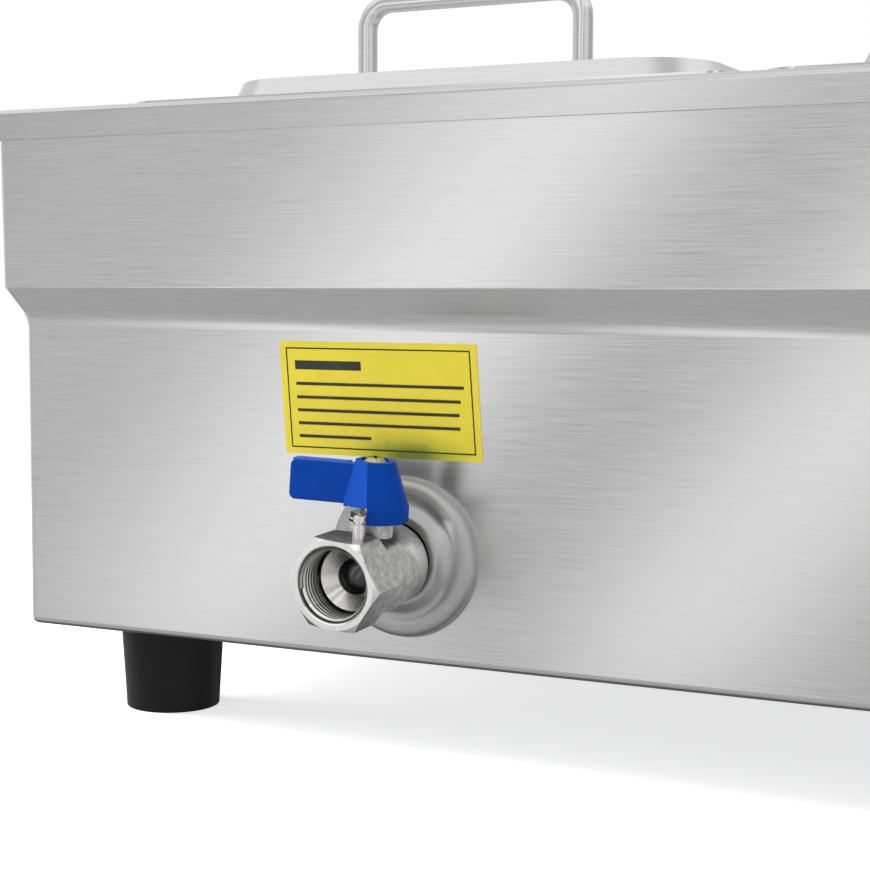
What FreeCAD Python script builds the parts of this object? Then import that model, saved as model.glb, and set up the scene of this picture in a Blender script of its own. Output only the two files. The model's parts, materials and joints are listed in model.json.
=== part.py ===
import FreeCAD, Part
import os
from math import cos, radians, sin, sqrt, tan

# Electric countertop bain-marie: a stainless casing with a stepped waist, a water bath for two
# half-size food pans with hinged lids, an immersed heating element, and a drain valve in front.
# Millimetres. X runs along the front to the right, Y to the back, Z up. The origin is the middle
# of the casing's footprint, in the plane that the four feet stand on.

V = FreeCAD.Vector
UP = V(0, 0, 1)
FRONT = V(0, -1, 0)
BACK = V(0, 1, 0)
RIGHT = V(1, 0, 0)

# Casing, with the room that it leaves beside, before and behind the tank
end_room = 39.8
front_room = 34.5
back_room = 6.5
lower_height = 126.0
step_out = 6.5
step_rise = 12.4
upper_flare = 0.8
casing_sheet = 1.0
casing_corner = 3.5
bottom_bend = 3.0
waist_bend = 14.0
shoulder_bend = 1.5
bottom_flange = 15.0
fold_run = 0.4
top_flange = 9.0
top_bend = 2.0

# Feet and base plate
foot_height = 37.5
foot_from_side = 42.8
foot_from_front = 41.5
foot_top_radius = 21.8
foot_bottom_radius = 19.4
foot_edge = 0.6
foot_recess_radius = 9.0
foot_recess_depth = 13.0
foot_screw_radius = 3.0
foot_screw_head_radius = 5.5
foot_screw_head_height = 3.5
foot_screw_socket = 2.0
foot_screw_socket_flats = 5.0
foot_screw_length = 40.0
foot_washer_radius = 8.0
foot_washer_sheet = 1.5
foot_nut_flats = 10.0
foot_nut_height = 5.0
hole_clearance = 0.2
base_sheet = 1.0
base_gap = 0.5
base_screw_radius = 2.0
base_screw_length = 7.0
base_screw_head_radius = 3.2
base_screw_head_height = 1.2
base_screw_head_edge = 0.8
base_screw_from_edge = 10.5
base_screws_long_side = 3
vent_length = 44.0
vent_width = 4.0
vent_pitch = 11.0
vent_count = 7
vent_offset = 130.0

# Water tank with its deck
deck_sheet = 1.0
lip_height = 12.0
lip_bend = 2.5
lip_gap = 0.15
well_clearance = 2.5
tank_floor_height = 28.5
well_corner = 20.0
well_floor_bend = 6.0
well_rim_bend = 4.0
bar_width = 16.0
bar_sheet = 1.5
bar_depth = 11.0

# Drain valve, in its own directions: x to the right, a outward from the casing, b up
valve_inset = 175.0
valve_height = 39.9
valve_turn = 5.6
valve_fall = 3.0
pipe_radius = 13.2
pipe_bore = 9.5
pipe_thread_radius = 12.6
pipe_end = 16.0
pipe_inner_end = 40.0
casing_pipe_hole = 15.5
valve_rear = 9.5
valve_mouth = 54.8
hex_flats = 31.0
hex_length = 17.4
hex_chamfer = 1.6
hex_rear_chamfer = 2.4
hex_face_radius = 15.8
hex_rim_radius = 18.1
barrel_radius = 14.6
barrel_swell = 16.1
swell_distance = 25.7
swell_bend = 60.0
barrel_edge = 1.5
stem_distance = 28.7
socket_depth = 8.4
ball_radius = 11.2
ball_bore = 6.5
ball_clearance = 0.05
seat_outer_radius = 10.6
seat_near = 6.9
seat_far = 9.6
chamber_radius = 11.45
thread_radius = 12.06
mouth_chamfer = 1.9
relief_radius = 13.0
relief_length = 1.8
retainer_radius = 11.8
retainer_bore_start = 34.0
retainer_front = 42.5
funnel_radius = 11.3
funnel_start = 38.8
boss_radius = 8.0
boss_root = 6.0
boss_top = 18.5
packing_radius = 6.2
packing_bottom = 14.6
packing_ring = 1.25
packing_ring_height = 1.23
gland_flats = 13.0
gland_height = 3.0
gland_spigot = 1.2
stem_radius = 4.0
stem_flats = 6.0
stem_top = 34.5
stem_flat_bottom = 23.6
collar_radius = 5.5
collar_bottom = 11.9
collar_height = 1.4
collar_room = 0.1
tongue_width = 3.0
tongue_length = 8.0
tongue_bottom = 8.6
running_gap = 0.05
screw_radius = 2.5
screw_length = 9.0
screw_head_radius = 4.3
screw_head_height = 4.0
screw_head_side = 1.8
screw_head_flat = 2.6
screw_slot_width = 1.0
screw_slot_depth = 1.5
screw_turn = 30.0
hub_top = 40.3
hub_top_radius = 7.2
hub_top_turn = 84.0
hub_top_side = 6.4
hub_foot = 24.3
hub_foot_radius = 13.0
hub_foot_turn = 71.0
hub_foot_side = 10.3
hub_bottom = 22.4
hub_cavity_radius = 9.3
hub_cavity_top = 23.4
hub_recess_radius = 5.2
hub_recess_floor = 37.4
skirt_bottom = 19.4
skirt_wall = 2.0
skirt_rise = 2.9
lever_reach = 32.7
lever_sheet = 5.0
lever_low = 21.9
lever_high = 36.3
lever_slope = 4.0
lever_corner = 2.2
pin_radius = 2.1
pin_forward = 18.0
pin_top = 24.0
pin_sunk = 2.0
pin_gap = 0.1
pin_chamfer = 0.5
pin_groove_depth = 0.6
pin_groove_low = 21.0
pin_groove_high = 21.9
rosette_radius = 30.0
rosette_hole = 14.0
rosette_sheet = 0.8
rosette_rise = 8.4
rosette_shoulder_rise = 5.0
rosette_shoulder_radius = 28.8
rosette_crest_rise = 5.5
rosette_crest_radius = 24.0
rosette_groove_rise = 4.6
rosette_groove_radius = 20.8
rosette_collar_radius = 16.4

# Heating element and its fittings
element_radius = 4.0
element_height = 17.5
element_room = 13.2
element_inner_leg = 25.0
element_outer_leg = 85.0
element_left_gap = 40.0
element_right_gap = 75.0
bushing_radius = 8.0
bushing_flange_radius = 10.5
bushing_flange = 3.0
bushing_reach = 19.0
gasket_sheet = 1.5
gasket_radius = 11.0
element_nut_flats = 22.0
element_nut_height = 6.0
element_tail = 2.0
bend_slack = 0.01
terminal_radius = 2.0
terminal_reach = 6.0
insulator_radius = 3.4
insulator_length = 3.0
bracket_sheet = 2.0
bracket_place = 110.0
bracket_overhang = 12.0
bracket_foot = 12.0

# Controls
plate_length = 150.0
plate_height = 96.0
plate_sheet = 1.2
plate_corner = 6.0
plate_inset = 89.8
plate_screw_inset = 7.0
plate_screw_radius = 1.5
plate_screw_head_radius = 2.9
plate_screw_head_height = 1.4
plate_screw_length = 6.0
screw_slot_share = 0.14
knob_from_right = 47.0
knob_radius = 22.0
knob_gap = 2.0
knob_skirt = 5.0
knob_grip_radius = 15.0
knob_height = 21.0
knob_grip_width = 9.0
knob_edge = 1.2
knob_skirt_side = 2.8
knob_taper = 1.0
knob_wall = 2.0
knob_bore_depth = 14.9
shaft_radius = 3.0
shaft_in_body = 12.0
shaft_in_knob = 14.7
shaft_flat = 1.65
shaft_pocket = 13.2
shaft_hole = 5.0
thermostat_length = 40.0
thermostat_depth = 22.0
thermostat_height = 34.0
thermostat_edge = 2.0
thermostat_screw_pitch = 28.0
thermostat_screw_radius = 2.0
thermostat_screw_head = 3.6
thermostat_screw_head_height = 1.5
thermostat_screw_length = 6.0
tab_length = 8.0
tab_width = 6.3
tab_sheet = 0.8
bulb_radius = 3.0
bulb_length = 90.0
bulb_edge = 1.3
bulb_past_bend = 4.0
bulb_height = 22.0
bulb_from_wall = 9.0
capillary_radius = 0.9
capillary_bend = 7.0
capillary_run = 17.0
bulb_gland_radius = 6.0
bulb_gland_flange = 9.0
bulb_gland_sheet = 2.0
bulb_gland_nut_flats = 15.0
bulb_gland_nut_height = 4.0
clip_width = 8.0
clip_sheet = 0.8
clip_inset = 20.0
clip_tab = 8.0
clip_hook = 1.0
clip_lip = 0.2
lamp_from_left = 15.0
lamp_pitch = 26.0
lamp_up = 24.0
lamp_body_radius = 4.9
lamp_bezel_radius = 6.4
lamp_bezel = 2.0
lamp_lens = 4.0
lamp_depth = 22.0
lamp_bezel_edge = 0.8
lamp_lens_edge = 1.6
switch_drop = 20.0
switch_from_left = 28.0
switch_length = 28.0
switch_height = 21.5
switch_bezel = 2.0
switch_bezel_margin = 2.0
switch_depth = 21.0
switch_edge = 0.8
switch_tab_pitch = 8.0
switch_tab_length = 6.0
rocker_radius = 11.8
rocker_width = 16.4
rocker_gap = 0.3
rocker_tilt = 8.0
rocker_pivot_depth = 3.2
rocker_front = 4.5
rocker_back = 3.0
rocker_cavity_depth = 11.0
trunnion_radius = 1.5
trunnion_reach = 1.4

# Mains inlet
inlet_from_right = 69.8
inlet_height = 15.0
gland_thread_radius = 8.0
gland_bore = 4.5
gland_hex_flats = 19.0
gland_hex_height = 5.0
gland_dome_radius = 9.2
gland_dome_length = 15.0
gland_lock_flats = 19.0
gland_lock_height = 4.0
gland_inside = 9.0
gland_wall = 0.8
gland_spigot_length = 9.0
gland_dome_side = 8.25
gland_dome_lip = 1.6
earth_from_right = 121.8
earth_radius = 2.5
earth_reach = 14.0
earth_inside = 7.0
earth_nut_flats = 8.0
earth_nut_height = 4.0
earth_nut_gap = 2.0
block_length = 50.0
block_width = 20.0
block_height = 15.0
block_from_right = 96.8
block_from_back = 45.0
block_ways = 3
block_screw_radius = 2.4
block_screw_height = 1.2
block_screw_depth = 5.0
block_wire_radius = 1.8
block_wire_height = 6.0
block_edge = 1.5
block_slot = 0.8
limit_radius = 8.5
limit_height = 8.0
limit_strap_length = 40.0
limit_strap_width = 9.0
limit_strap_sheet = 1.0
limit_strap_corner = 2.0
limit_tab_length = 5.0
limit_tab_offset = 5.0

# Front sticker between the escutcheon and the waist, cut slightly out of square
label_inset = 121.3
label_above_rosette = 6.3
label_below_waist = 7.4
label_length = 82.2
label_lean = 2.9
label_sheet = 0.2
label_corner = 1.0

# Food pans, half size
pan_length = 264.0
pan_width = 325.0
pan_spacing = 1.0
pan_depth = 150.0
pan_rim_side = 12.0
pan_rim_front = 12.5
pan_taper = 7.5
pan_corner = 45.0
pan_floor_corner = 38.0
pan_floor_bend = 16.0
pan_sheet = 0.8
pan_rim_corner = 15.0
pan_rim_drop = 3.5
pan_rim_bend = 1.4
pan_seat_gap = 0.2

# Hinged lids
lid_margin = 1.0
lid_sheet = 0.8
lid_corner = 14.0
lid_seat_gap = 0.3
lid_panel_margin = 22.0
lid_panel_rise = 10.0
lid_panel_draft = 5.0
lid_panel_corner = 36.0
lid_split = 12.0
lid_split_gap = 1.0
hinge_length = 180.0
hinge_knuckles = 5
hinge_radius = 3.2
hinge_lift = 0.4
hinge_pin_radius = 1.5
hinge_pin_gap = 0.08
hinge_side_gap = 0.4
hinge_leaf_sheet = 1.0
hinge_leaf_start = 3.8
hinge_leaf_reach = 14.0
hinge_web_start = 0.6
handle_radius = 4.0
handle_span = 96.0
handle_rise = 32.0
handle_bend = 11.0
handle_pad_radius = 9.0
handle_pad = 2.5
handle_from_front = 58.0

# How far a cutting shape runs past the face it opens, or a joined piece into its neighbour
past = 1.0

# Lengths and widths worked out from the pans outward
pan_pitch = pan_length + pan_spacing
pan_body_length = pan_length - 2 * pan_rim_side
pan_body_width = pan_width - 2 * pan_rim_front
well_length = pan_pitch + pan_body_length + 2 * well_clearance
well_width = pan_body_width + 2 * well_clearance
well_shift = (front_room - back_room) / 2
lower_length = well_length + 2 * end_room
lower_width = well_width + front_room + back_room

# Places worked out from the sizes above
edge_z = foot_height
waist_z = edge_z + lower_height
shoulder_z = waist_z + step_rise
floor_z = edge_z + tank_floor_height
pan_floor_z = floor_z + element_height + element_radius + element_room
pan_top_z = pan_floor_z + pan_depth
rim_z = pan_top_z - pan_rim_drop - pan_seat_gap
half_length = lower_length / 2
half_width = lower_width / 2
front_y = -half_width
inner_front_y = front_y + casing_sheet
flange_top_z = edge_z + casing_sheet
plate_top_z = flange_top_z + base_sheet
rim_outset = step_out + upper_flare
well_front_y = well_shift - well_width / 2
well_right_x = well_length / 2
valve_x = -half_length + valve_inset
valve_z = edge_z + valve_height
panel_x = half_length - plate_inset
panel_z = edge_z + lower_height / 2
panel_front_y = front_y - plate_sheet
knob_x = panel_x + plate_length / 2 - knob_from_right
lid_z = pan_top_z + lid_seat_gap
lid_panel_z = lid_z + lid_sheet + lid_panel_rise
hinge_y = well_shift + lid_split
hinge_z = lid_panel_z + hinge_lift + hinge_radius


def block(x0, x1, y0, y1, z0, z1):
    return Part.makeBox(x1 - x0, y1 - y0, z1 - z0, V(x0, y0, z0))


def rod(radius, start, end):
    run = end - start
    return Part.makeCylinder(radius, run.Length, start, run)


def pipe(outer, inner, start, end):
    return rod(outer, start, end).cut(rod(inner, start, end))


def group(solids):
    return Part.makeCompound(solids)


def edges_on(shape, point, axis):
    """The edges of a shape in the plane through a point, square to an axis."""
    def flush(edge):
        return all(abs((v.Point - point).dot(axis)) < 0.001 for v in edge.Vertexes)
    return [edge for edge in shape.Edges if flush(edge)]


def joined(solids):
    return solids[0].multiFuse(solids[1:]).removeSplitter()


def path(points, bends, closed=False):
    """Straight runs in one plane, with a tangent arc of the given radius at each bend."""
    corners = [V(*p) for p in points]
    count = len(corners)
    edges = []
    first = None
    last = None if closed else corners[0]
    inner = range(count) if closed else range(1, count - 1)
    for i in inner:
        corner = corners[i]
        back = (corners[i - 1] - corner).normalize()
        ahead = (corners[(i + 1) % count] - corner).normalize()
        radius = bends[i] if closed else bends[i - 1]
        enter = corner
        leave = corner
        arc = None
        if radius > 0:
            half = back.getAngle(ahead) / 2
            enter = corner + back * (radius / tan(half))
            leave = corner + ahead * (radius / tan(half))
            middle = corner + (back + ahead).normalize() * (radius / sin(half) - radius)
            arc = Part.Arc(enter, middle, leave).toShape()
        if last is None:
            first = enter
        elif (enter - last).Length > 1e-6:
            edges.append(Part.LineSegment(last, enter).toShape())
        if arc:
            edges.append(arc)
        last = leave
    end = first if closed else corners[-1]
    if (end - last).Length > 1e-6:
        edges.append(Part.LineSegment(last, end).toShape())
    return Part.Wire(edges)


def outline(points, bends=None):
    flat = [(p[0], p[1], 0) for p in points]
    return path(flat, bends or [0] * len(flat), closed=True)


def beside(points, sheet):
    """The points of a sheet's other face, to the left of the given ones."""
    face = [V(p[0], p[1], 0) for p in points]
    runs = [(b - a).normalize() for a, b in zip(face, face[1:])]
    normals = [V(-run.y, run.x, 0) for run in runs]
    far = [face[0] + normals[0] * sheet]
    for i, (before, after) in enumerate(zip(normals, normals[1:])):
        far.append(face[i + 1] + (before + after) * (sheet / (1 + before.dot(after))))
    far.append(face[-1] + normals[-1] * sheet)
    return [(p.x, p.y) for p in far]


def strip(points, bends, sheet):
    """A bent sheet's section: the path is one face of it, and the sheet lies to its left, or to
    its right if its thickness is given below zero."""
    face = [V(p[0], p[1], 0) for p in points]
    far = [V(x, y, 0) for x, y in beside(points, sheet)]
    far_bends = []
    for i, bend in enumerate(bends):
        left_turn = (face[i + 1] - face[i]).cross(face[i + 2] - face[i + 1]).z > 0
        far_bends.append(bend - sheet if left_turn else bend + sheet)
    edges = path(face, bends).Edges + path(far, far_bends).Edges
    edges += [Part.LineSegment(face[k], far[k]).toShape() for k in (0, -1)]
    return Part.Face(Part.Wire(Part.__sortEdges__(edges)))


def turned(section, base, axis):
    """Turns a flat section, drawn as (distance along the axis, radius), once round the axis."""
    face = section if section.ShapeType == "Face" else Part.Face(section)
    solid = face.revolve(V(0, 0, 0), RIGHT, 360)
    solid.Placement = FreeCAD.Placement(base, FreeCAD.Rotation(RIGHT, axis))
    return solid


def rectangle(half_x, half_y, corner, z, middle_y=0.0, middle_x=0.0):
    x0 = middle_x - half_x
    x1 = middle_x + half_x
    y0 = middle_y - half_y
    y1 = middle_y + half_y
    points = [(x0, y0, z), (x1, y0, z), (x1, y1, z), (x0, y1, z)]
    return path(points, [corner] * 4, closed=True)


def slab(half_x, half_y, corner, z0, z1, middle_y=0.0, middle_x=0.0):
    face = Part.Face(rectangle(half_x, half_y, corner, z0, middle_y, middle_x))
    return face.extrude(V(0, 0, z1 - z0))


def folded_ring(section, half_x, half_y, corner, middle_y=0.0, middle_x=0.0):
    """Runs a section round a rectangle with round corners. The section is drawn as (distance
    from the corner's centre, height)."""
    upright = section.copy()
    upright.rotate(V(0, 0, 0), RIGHT, 90)
    quarter = upright.revolve(V(0, 0, 0), UP, 90)
    centre = V(middle_x, middle_y, 0)
    pieces = []
    for turn in range(4):
        span_x, span_y = (half_x, half_y) if turn % 2 == 0 else (half_y, half_x)
        reach = V(span_x - corner, span_y - corner, 0)
        bend = quarter.copy()
        bend.translate(reach)
        side = upright.copy()
        side.translate(V(reach.x, -reach.y, 0))
        wall = side.extrude(V(0, 2 * reach.y, 0))
        for piece in (bend, wall):
            piece.rotate(V(0, 0, 0), UP, 90 * turn)
            piece.translate(centre)
            pieces.append(piece)
    return joined(pieces)


def hexagon(flats, start, axis, length, bore=0.0, turn=30.0):
    across = flats / sqrt(3)
    angles = [radians(60 * k + turn) for k in range(6)]
    corners = [(across * cos(angle), across * sin(angle), 0) for angle in angles]
    prism = Part.Face(path(corners, [0] * 6, closed=True)).extrude(V(0, 0, length))
    prism.Placement = FreeCAD.Placement(start, FreeCAD.Rotation(UP, axis))
    if bore > 0:
        prism = prism.cut(rod(bore, start - axis, start + axis * (length + past)))
    return prism


def stepped_block(levels, corner, waist, shoulder):
    """A block whose rounded outline steps out: each level is (distance out from the lower
    casing's sides, height), and all levels have the same round corners."""
    rings = [rectangle(half_length + out, half_width + out, corner, z) for out, z in levels]
    parts = [Part.makeLoft([low, high], True, True) for low, high in zip(rings, rings[1:])]
    block = joined(parts)
    for bend, level in ((waist, levels[1]), (shoulder, levels[2])):
        block = block.makeFillet(bend, edges_on(block, UP * level[1], UP))
    return block


def outer_casing():
    top_z = rim_z - deck_sheet
    outside = [(0, edge_z), (0, waist_z), (step_out, shoulder_z), (rim_outset, top_z)]
    inside = beside(outside, casing_sheet)
    inside[0] = (-casing_sheet, flange_top_z)
    inside[-1] = (inside[-1][0], top_z - casing_sheet)
    casing = stepped_block(outside, casing_corner, waist_bend, shoulder_bend)
    room = stepped_block(inside, casing_corner - casing_sheet, waist_bend + casing_sheet,
                         shoulder_bend - casing_sheet)
    for bend, z in ((bottom_bend, edge_z), (top_bend, top_z)):
        casing = casing.makeFillet(bend, edges_on(casing, UP * z, UP))
    for bend, z in ((bottom_bend, flange_top_z), (top_bend, top_z - casing_sheet)):
        room = room.makeFillet(bend - casing_sheet, edges_on(room, UP * z, UP))
    cuts = [room]
    for out, z in ((-bottom_flange, edge_z), (rim_outset - top_flange, top_z - casing_sheet)):
        cuts.append(slab(half_length + out, half_width + out, casing_corner,
                         z - past, z + casing_sheet + past))
    casing = casing.cut(cuts)
    reach = 3 * casing_sheet
    pipe_centre = V(valve_x, front_y, valve_z)
    holes = [rod(casing_pipe_hole, pipe_centre + FRONT * reach, pipe_centre + BACK * reach)]
    holes += panel_cuts(front_y - reach, front_y + reach)
    for place, radius in ((inlet_place(), gland_thread_radius), (earth_place(), earth_radius)):
        holes.append(rod(radius + hole_clearance, place - BACK * reach, place + BACK * reach))
    for place in base_screw_places():
        holes.append(rod(base_screw_radius + hole_clearance, place - UP * reach, place + UP * reach))
    return casing.cut(holes)


def foot_places():
    x = half_length - foot_from_side
    y = half_width - foot_from_front
    return [V(-x, -y, 0), V(x, -y, 0), V(x, y, 0), V(-x, y, 0)]


def base_screw_places():
    x = half_length - base_screw_from_edge
    y = half_width - base_screw_from_edge
    step = lower_length / (base_screws_long_side + 1)
    along = [step * (k + 1) - half_length for k in range(base_screws_long_side)]
    places = [V(a, side * y, edge_z) for a in along for side in (-1, 1)]
    return places + [V(side * x, 0, edge_z) for side in (-1, 1)]


def base_plate():
    inset = bottom_bend + base_gap
    plate = slab(half_length - inset, half_width - inset, casing_corner, flange_top_z, plate_top_z)
    low = flange_top_z - past
    high = plate_top_z + past
    cuts = []
    for p in foot_places():
        cuts.append(rod(foot_screw_radius + hole_clearance, p + UP * low, p + UP * high))
    for p in base_screw_places():
        cuts.append(rod(base_screw_radius + hole_clearance, V(p.x, p.y, low), V(p.x, p.y, high)))
    middle = (vent_count - 1) / 2
    for side in (-1, 1):
        for k in range(vent_count):
            x = side * vent_offset + (k - middle) * vent_pitch
            cuts.append(slab(vent_width / 2, vent_length / 2, vent_width / 2, low, high, 0, x))
    return plate.cut(cuts)


def base_screws():
    screws = []
    for p in base_screw_places():
        low = p - UP * base_screw_head_height
        head = rod(base_screw_head_radius, low, p)
        head = head.makeFillet(base_screw_head_edge, edges_on(head, low, UP))
        shank = rod(base_screw_radius, low + UP * base_screw_head_edge, p + UP * base_screw_length)
        screws.append(joined([head, shank]))
    return group(screws)


def feet():
    points = [(0, 0), (0, foot_bottom_radius), (flange_top_z, foot_top_radius), (flange_top_z, 0)]
    solids = []
    for p in foot_places():
        foot = turned(outline(points, [0, foot_edge, 0, 0]), p, UP)
        recess = rod(foot_recess_radius, p - UP, p + UP * foot_recess_depth)
        hole = rod(foot_screw_radius + hole_clearance, p, p + UP * (flange_top_z + past))
        solids.append(foot.cut([recess, hole]))
    return group(solids)


def foot_washers():
    low = UP * (foot_recess_depth - foot_washer_sheet)
    high = UP * foot_recess_depth
    bore = foot_screw_radius + hole_clearance
    return group([pipe(foot_washer_radius, bore, p + low, p + high) for p in foot_places()])


def foot_screws():
    seat = foot_recess_depth - foot_washer_sheet
    low = seat - foot_screw_head_height
    screws = []
    for p in foot_places():
        head = rod(foot_screw_head_radius, p + UP * low, p + UP * seat)
        shank = rod(foot_screw_radius, p + UP * (seat - past), p + UP * (seat + foot_screw_length))
        start = p + UP * (low - past)
        socket = hexagon(foot_screw_socket_flats, start, UP, foot_screw_socket + past)
        screws.append(joined([head, shank]).cut(socket))
    return group(screws)


def foot_nuts():
    return group([hexagon(foot_nut_flats, p + UP * plate_top_z, UP, foot_nut_height,
                          foot_screw_radius) for p in foot_places()])


def water_tank():
    half_x = well_length / 2
    half_y = well_width / 2
    start = well_corner - well_floor_bend - fold_run
    edge = well_corner + well_rim_bend + fold_run
    points = [(start, floor_z), (well_corner, floor_z), (well_corner, rim_z), (edge, rim_z)]
    section = strip(points, [well_floor_bend, well_rim_bend], -deck_sheet)
    wall = folded_ring(section, half_x, half_y, well_corner, well_shift)
    inset = well_corner - start
    floor_low = floor_z - deck_sheet
    floor = slab(half_x - inset, half_y - inset, start, floor_low, floor_z, well_shift)
    lip_outer = casing_corner + lip_gap + deck_sheet
    lip_start = lip_outer - lip_bend - fold_run
    lip_points = [(lip_start, rim_z), (lip_outer, rim_z), (lip_outer, rim_z - lip_height)]
    lip_section = strip(lip_points, [lip_bend], -deck_sheet)
    outset = rim_outset + lip_gap + deck_sheet
    lip = folded_ring(lip_section, half_length + outset, half_width + outset, lip_outer)
    reach = outset - lip_outer + lip_start
    deck = slab(half_length + reach, half_width + reach, lip_start, rim_z - deck_sheet, rim_z)
    rim = edge - well_corner
    hole_low = rim_z - deck_sheet - past
    hole = slab(half_x + rim, half_y + rim, edge, hole_low, rim_z + past, well_shift)
    tank = joined([wall, floor, deck.cut(hole), lip])
    cuts = [screwed_on(rod(pipe_radius, at(0, -pipe_inner_end, 0), at(0, 0, 0)))]
    for y in element_entries():
        entry = V(well_right_x, y, element_z())
        cuts.append(rod(bushing_radius, entry - RIGHT * 2, entry + RIGHT * 2))
    gland = bulb_gland_place()
    cuts.append(rod(bulb_gland_radius, gland - BACK * 2, gland + BACK * 2))
    return tank.cut(cuts)


def well_space():
    """The room inside the tank, used to trim what ends flush with its inner wall."""
    return slab(well_length / 2, well_width / 2, well_corner, floor_z, rim_z, well_shift)


def pan_support_bar():
    back_y = well_front_y + well_width
    half = bar_width / 2
    top = block(-half, half, well_front_y, back_y, rim_z - bar_sheet, rim_z)
    low = rim_z - bar_depth
    left = block(-half, -half + bar_sheet, well_front_y, back_y, low, rim_z)
    right = block(half - bar_sheet, half, well_front_y, back_y, low, rim_z)
    return joined([top, left, right])


def at(x, a, b):
    """A point of the drain valve, before it is turned: a is the distance out from the casing."""
    return V(valve_x + x, front_y - a, valve_z + b)


def stem_at(b):
    return at(0, stem_distance, b)


def screwed_on(shape):
    """The drain falls outward, and the valve stops a little past upright on its thread."""
    shape.rotate(at(0, 0, 0), BACK, valve_turn)
    shape.rotate(at(0, 0, 0), RIGHT, valve_fall)
    return shape


def drain_pipe():
    long_part = rod(pipe_radius, at(0, -pipe_inner_end, 0), at(0, valve_rear, 0))
    thread = rod(pipe_thread_radius, at(0, 0, 0), at(0, pipe_end, 0))
    bore = rod(pipe_bore, at(0, -pipe_inner_end - past, 0), at(0, pipe_end + past, 0))
    tube = screwed_on(joined([long_part, thread]).cut(bore))
    return tube.cut(well_space())


def escutcheon():
    points = [
        (0, rosette_radius),
        (rosette_shoulder_rise, rosette_shoulder_radius),
        (rosette_crest_rise, rosette_crest_radius),
        (rosette_groove_rise, rosette_groove_radius),
        (rosette_rise, rosette_collar_radius),
        (rosette_rise, rosette_hole),
    ]
    section = strip(points, [3.6, 5.5, 2.6, 2.2], -rosette_sheet)
    behind = rod(2 * rosette_radius, at(0, -past, 0), at(0, 0, 0))
    return turned(section, at(0, 0, 0), FRONT).cut(behind)


def valve_body():
    hex_start = valve_mouth - hex_length
    barrel_end = hex_start + past
    outer = [
        (valve_rear, 0),
        (valve_rear, barrel_radius),
        (swell_distance, barrel_swell),
        (barrel_end, barrel_radius),
        (barrel_end, 0),
    ]
    barrel = turned(outline(outer, [0, barrel_edge, swell_bend, 0, 0]), at(0, 0, 0), FRONT)
    nut = hexagon(hex_flats, at(0, hex_start, 0), FRONT, hex_length, turn=0.0)
    trim = [
        (hex_start - past, 0),
        (hex_start, hex_flats / 2),
        (hex_start + hex_rear_chamfer, hex_rim_radius),
        (valve_mouth - hex_chamfer, hex_rim_radius),
        (valve_mouth, hex_face_radius),
        (valve_mouth, 0),
    ]
    nut = nut.common(turned(outline(trim), at(0, 0, 0), FRONT))
    body = joined([barrel, nut, rod(boss_radius, stem_at(boss_root), stem_at(boss_top))])
    pocket_rear = stem_distance - seat_far
    pocket_front = stem_distance - seat_near
    cavity = [
        (valve_rear - past, 0),
        (valve_rear - past, pipe_thread_radius),
        (valve_rear + socket_depth, pipe_thread_radius),
        (valve_rear + socket_depth, ball_bore),
        (pocket_rear, ball_bore),
        (pocket_rear, seat_outer_radius),
        (pocket_front, seat_outer_radius),
        (pocket_front, chamber_radius),
        (retainer_bore_start, chamber_radius),
        (retainer_bore_start, retainer_radius),
        (retainer_front, retainer_radius),
        (retainer_front, relief_radius),
        (retainer_front + relief_length, relief_radius),
        (retainer_front + relief_length, thread_radius),
        (valve_mouth - mouth_chamfer, thread_radius),
        (valve_mouth + past, thread_radius + mouth_chamfer + past),
        (valve_mouth + past, 0),
    ]
    body = body.cut(turned(outline(cavity), at(0, 0, 0), FRONT))
    above = stem_at(boss_top + past)
    collar_top = collar_bottom + collar_height + collar_room
    flat = hex_flats / 2
    body = body.cut([
        rod(stem_radius + running_gap, stem_at(boss_root), above),
        rod(collar_radius + collar_room, stem_at(boss_root), stem_at(collar_top)),
        rod(packing_radius, stem_at(packing_bottom), above),
        rod(pin_radius, pin_place(flat - pin_sunk), pin_place(flat + past)),
    ])
    return screwed_on(body)


def pin_place(b):
    return at(lever_sheet / 2 + pin_radius + pin_gap, stem_distance + pin_forward, b)


def valve_retainer():
    rear = stem_distance + seat_near + collar_room
    pocket = stem_distance + seat_far
    section = [
        (rear, seat_outer_radius),
        (rear, retainer_radius),
        (retainer_front, retainer_radius),
        (retainer_front, funnel_radius),
        (funnel_start, ball_bore),
        (pocket, ball_bore),
        (pocket, seat_outer_radius),
    ]
    return screwed_on(turned(outline(section), at(0, 0, 0), FRONT))


def ball_seats():
    ball = Part.makeSphere(ball_radius + ball_clearance, at(0, stem_distance, 0))
    rings = []
    for side in (-1, 1):
        near = at(0, stem_distance + side * seat_near, 0)
        far = at(0, stem_distance + side * seat_far, 0)
        ring = pipe(seat_outer_radius, ball_bore, near, far).cut(ball)
        rings.append(screwed_on(ring))
    return group(rings)


def valve_ball():
    centre = stem_at(0)
    ball = Part.makeSphere(ball_radius, centre)
    bore = rod(ball_bore, centre - RIGHT * 2 * ball_radius, centre + RIGHT * 2 * ball_radius)
    half_x = tongue_length / 2 + running_gap
    half_y = tongue_width / 2 + running_gap
    low = centre.z + tongue_bottom - collar_room
    slot = block(centre.x - half_x, centre.x + half_x, centre.y - half_y, centre.y + half_y,
                 low, centre.z + ball_radius + past)
    return screwed_on(ball.cut([bore, slot]))


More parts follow.
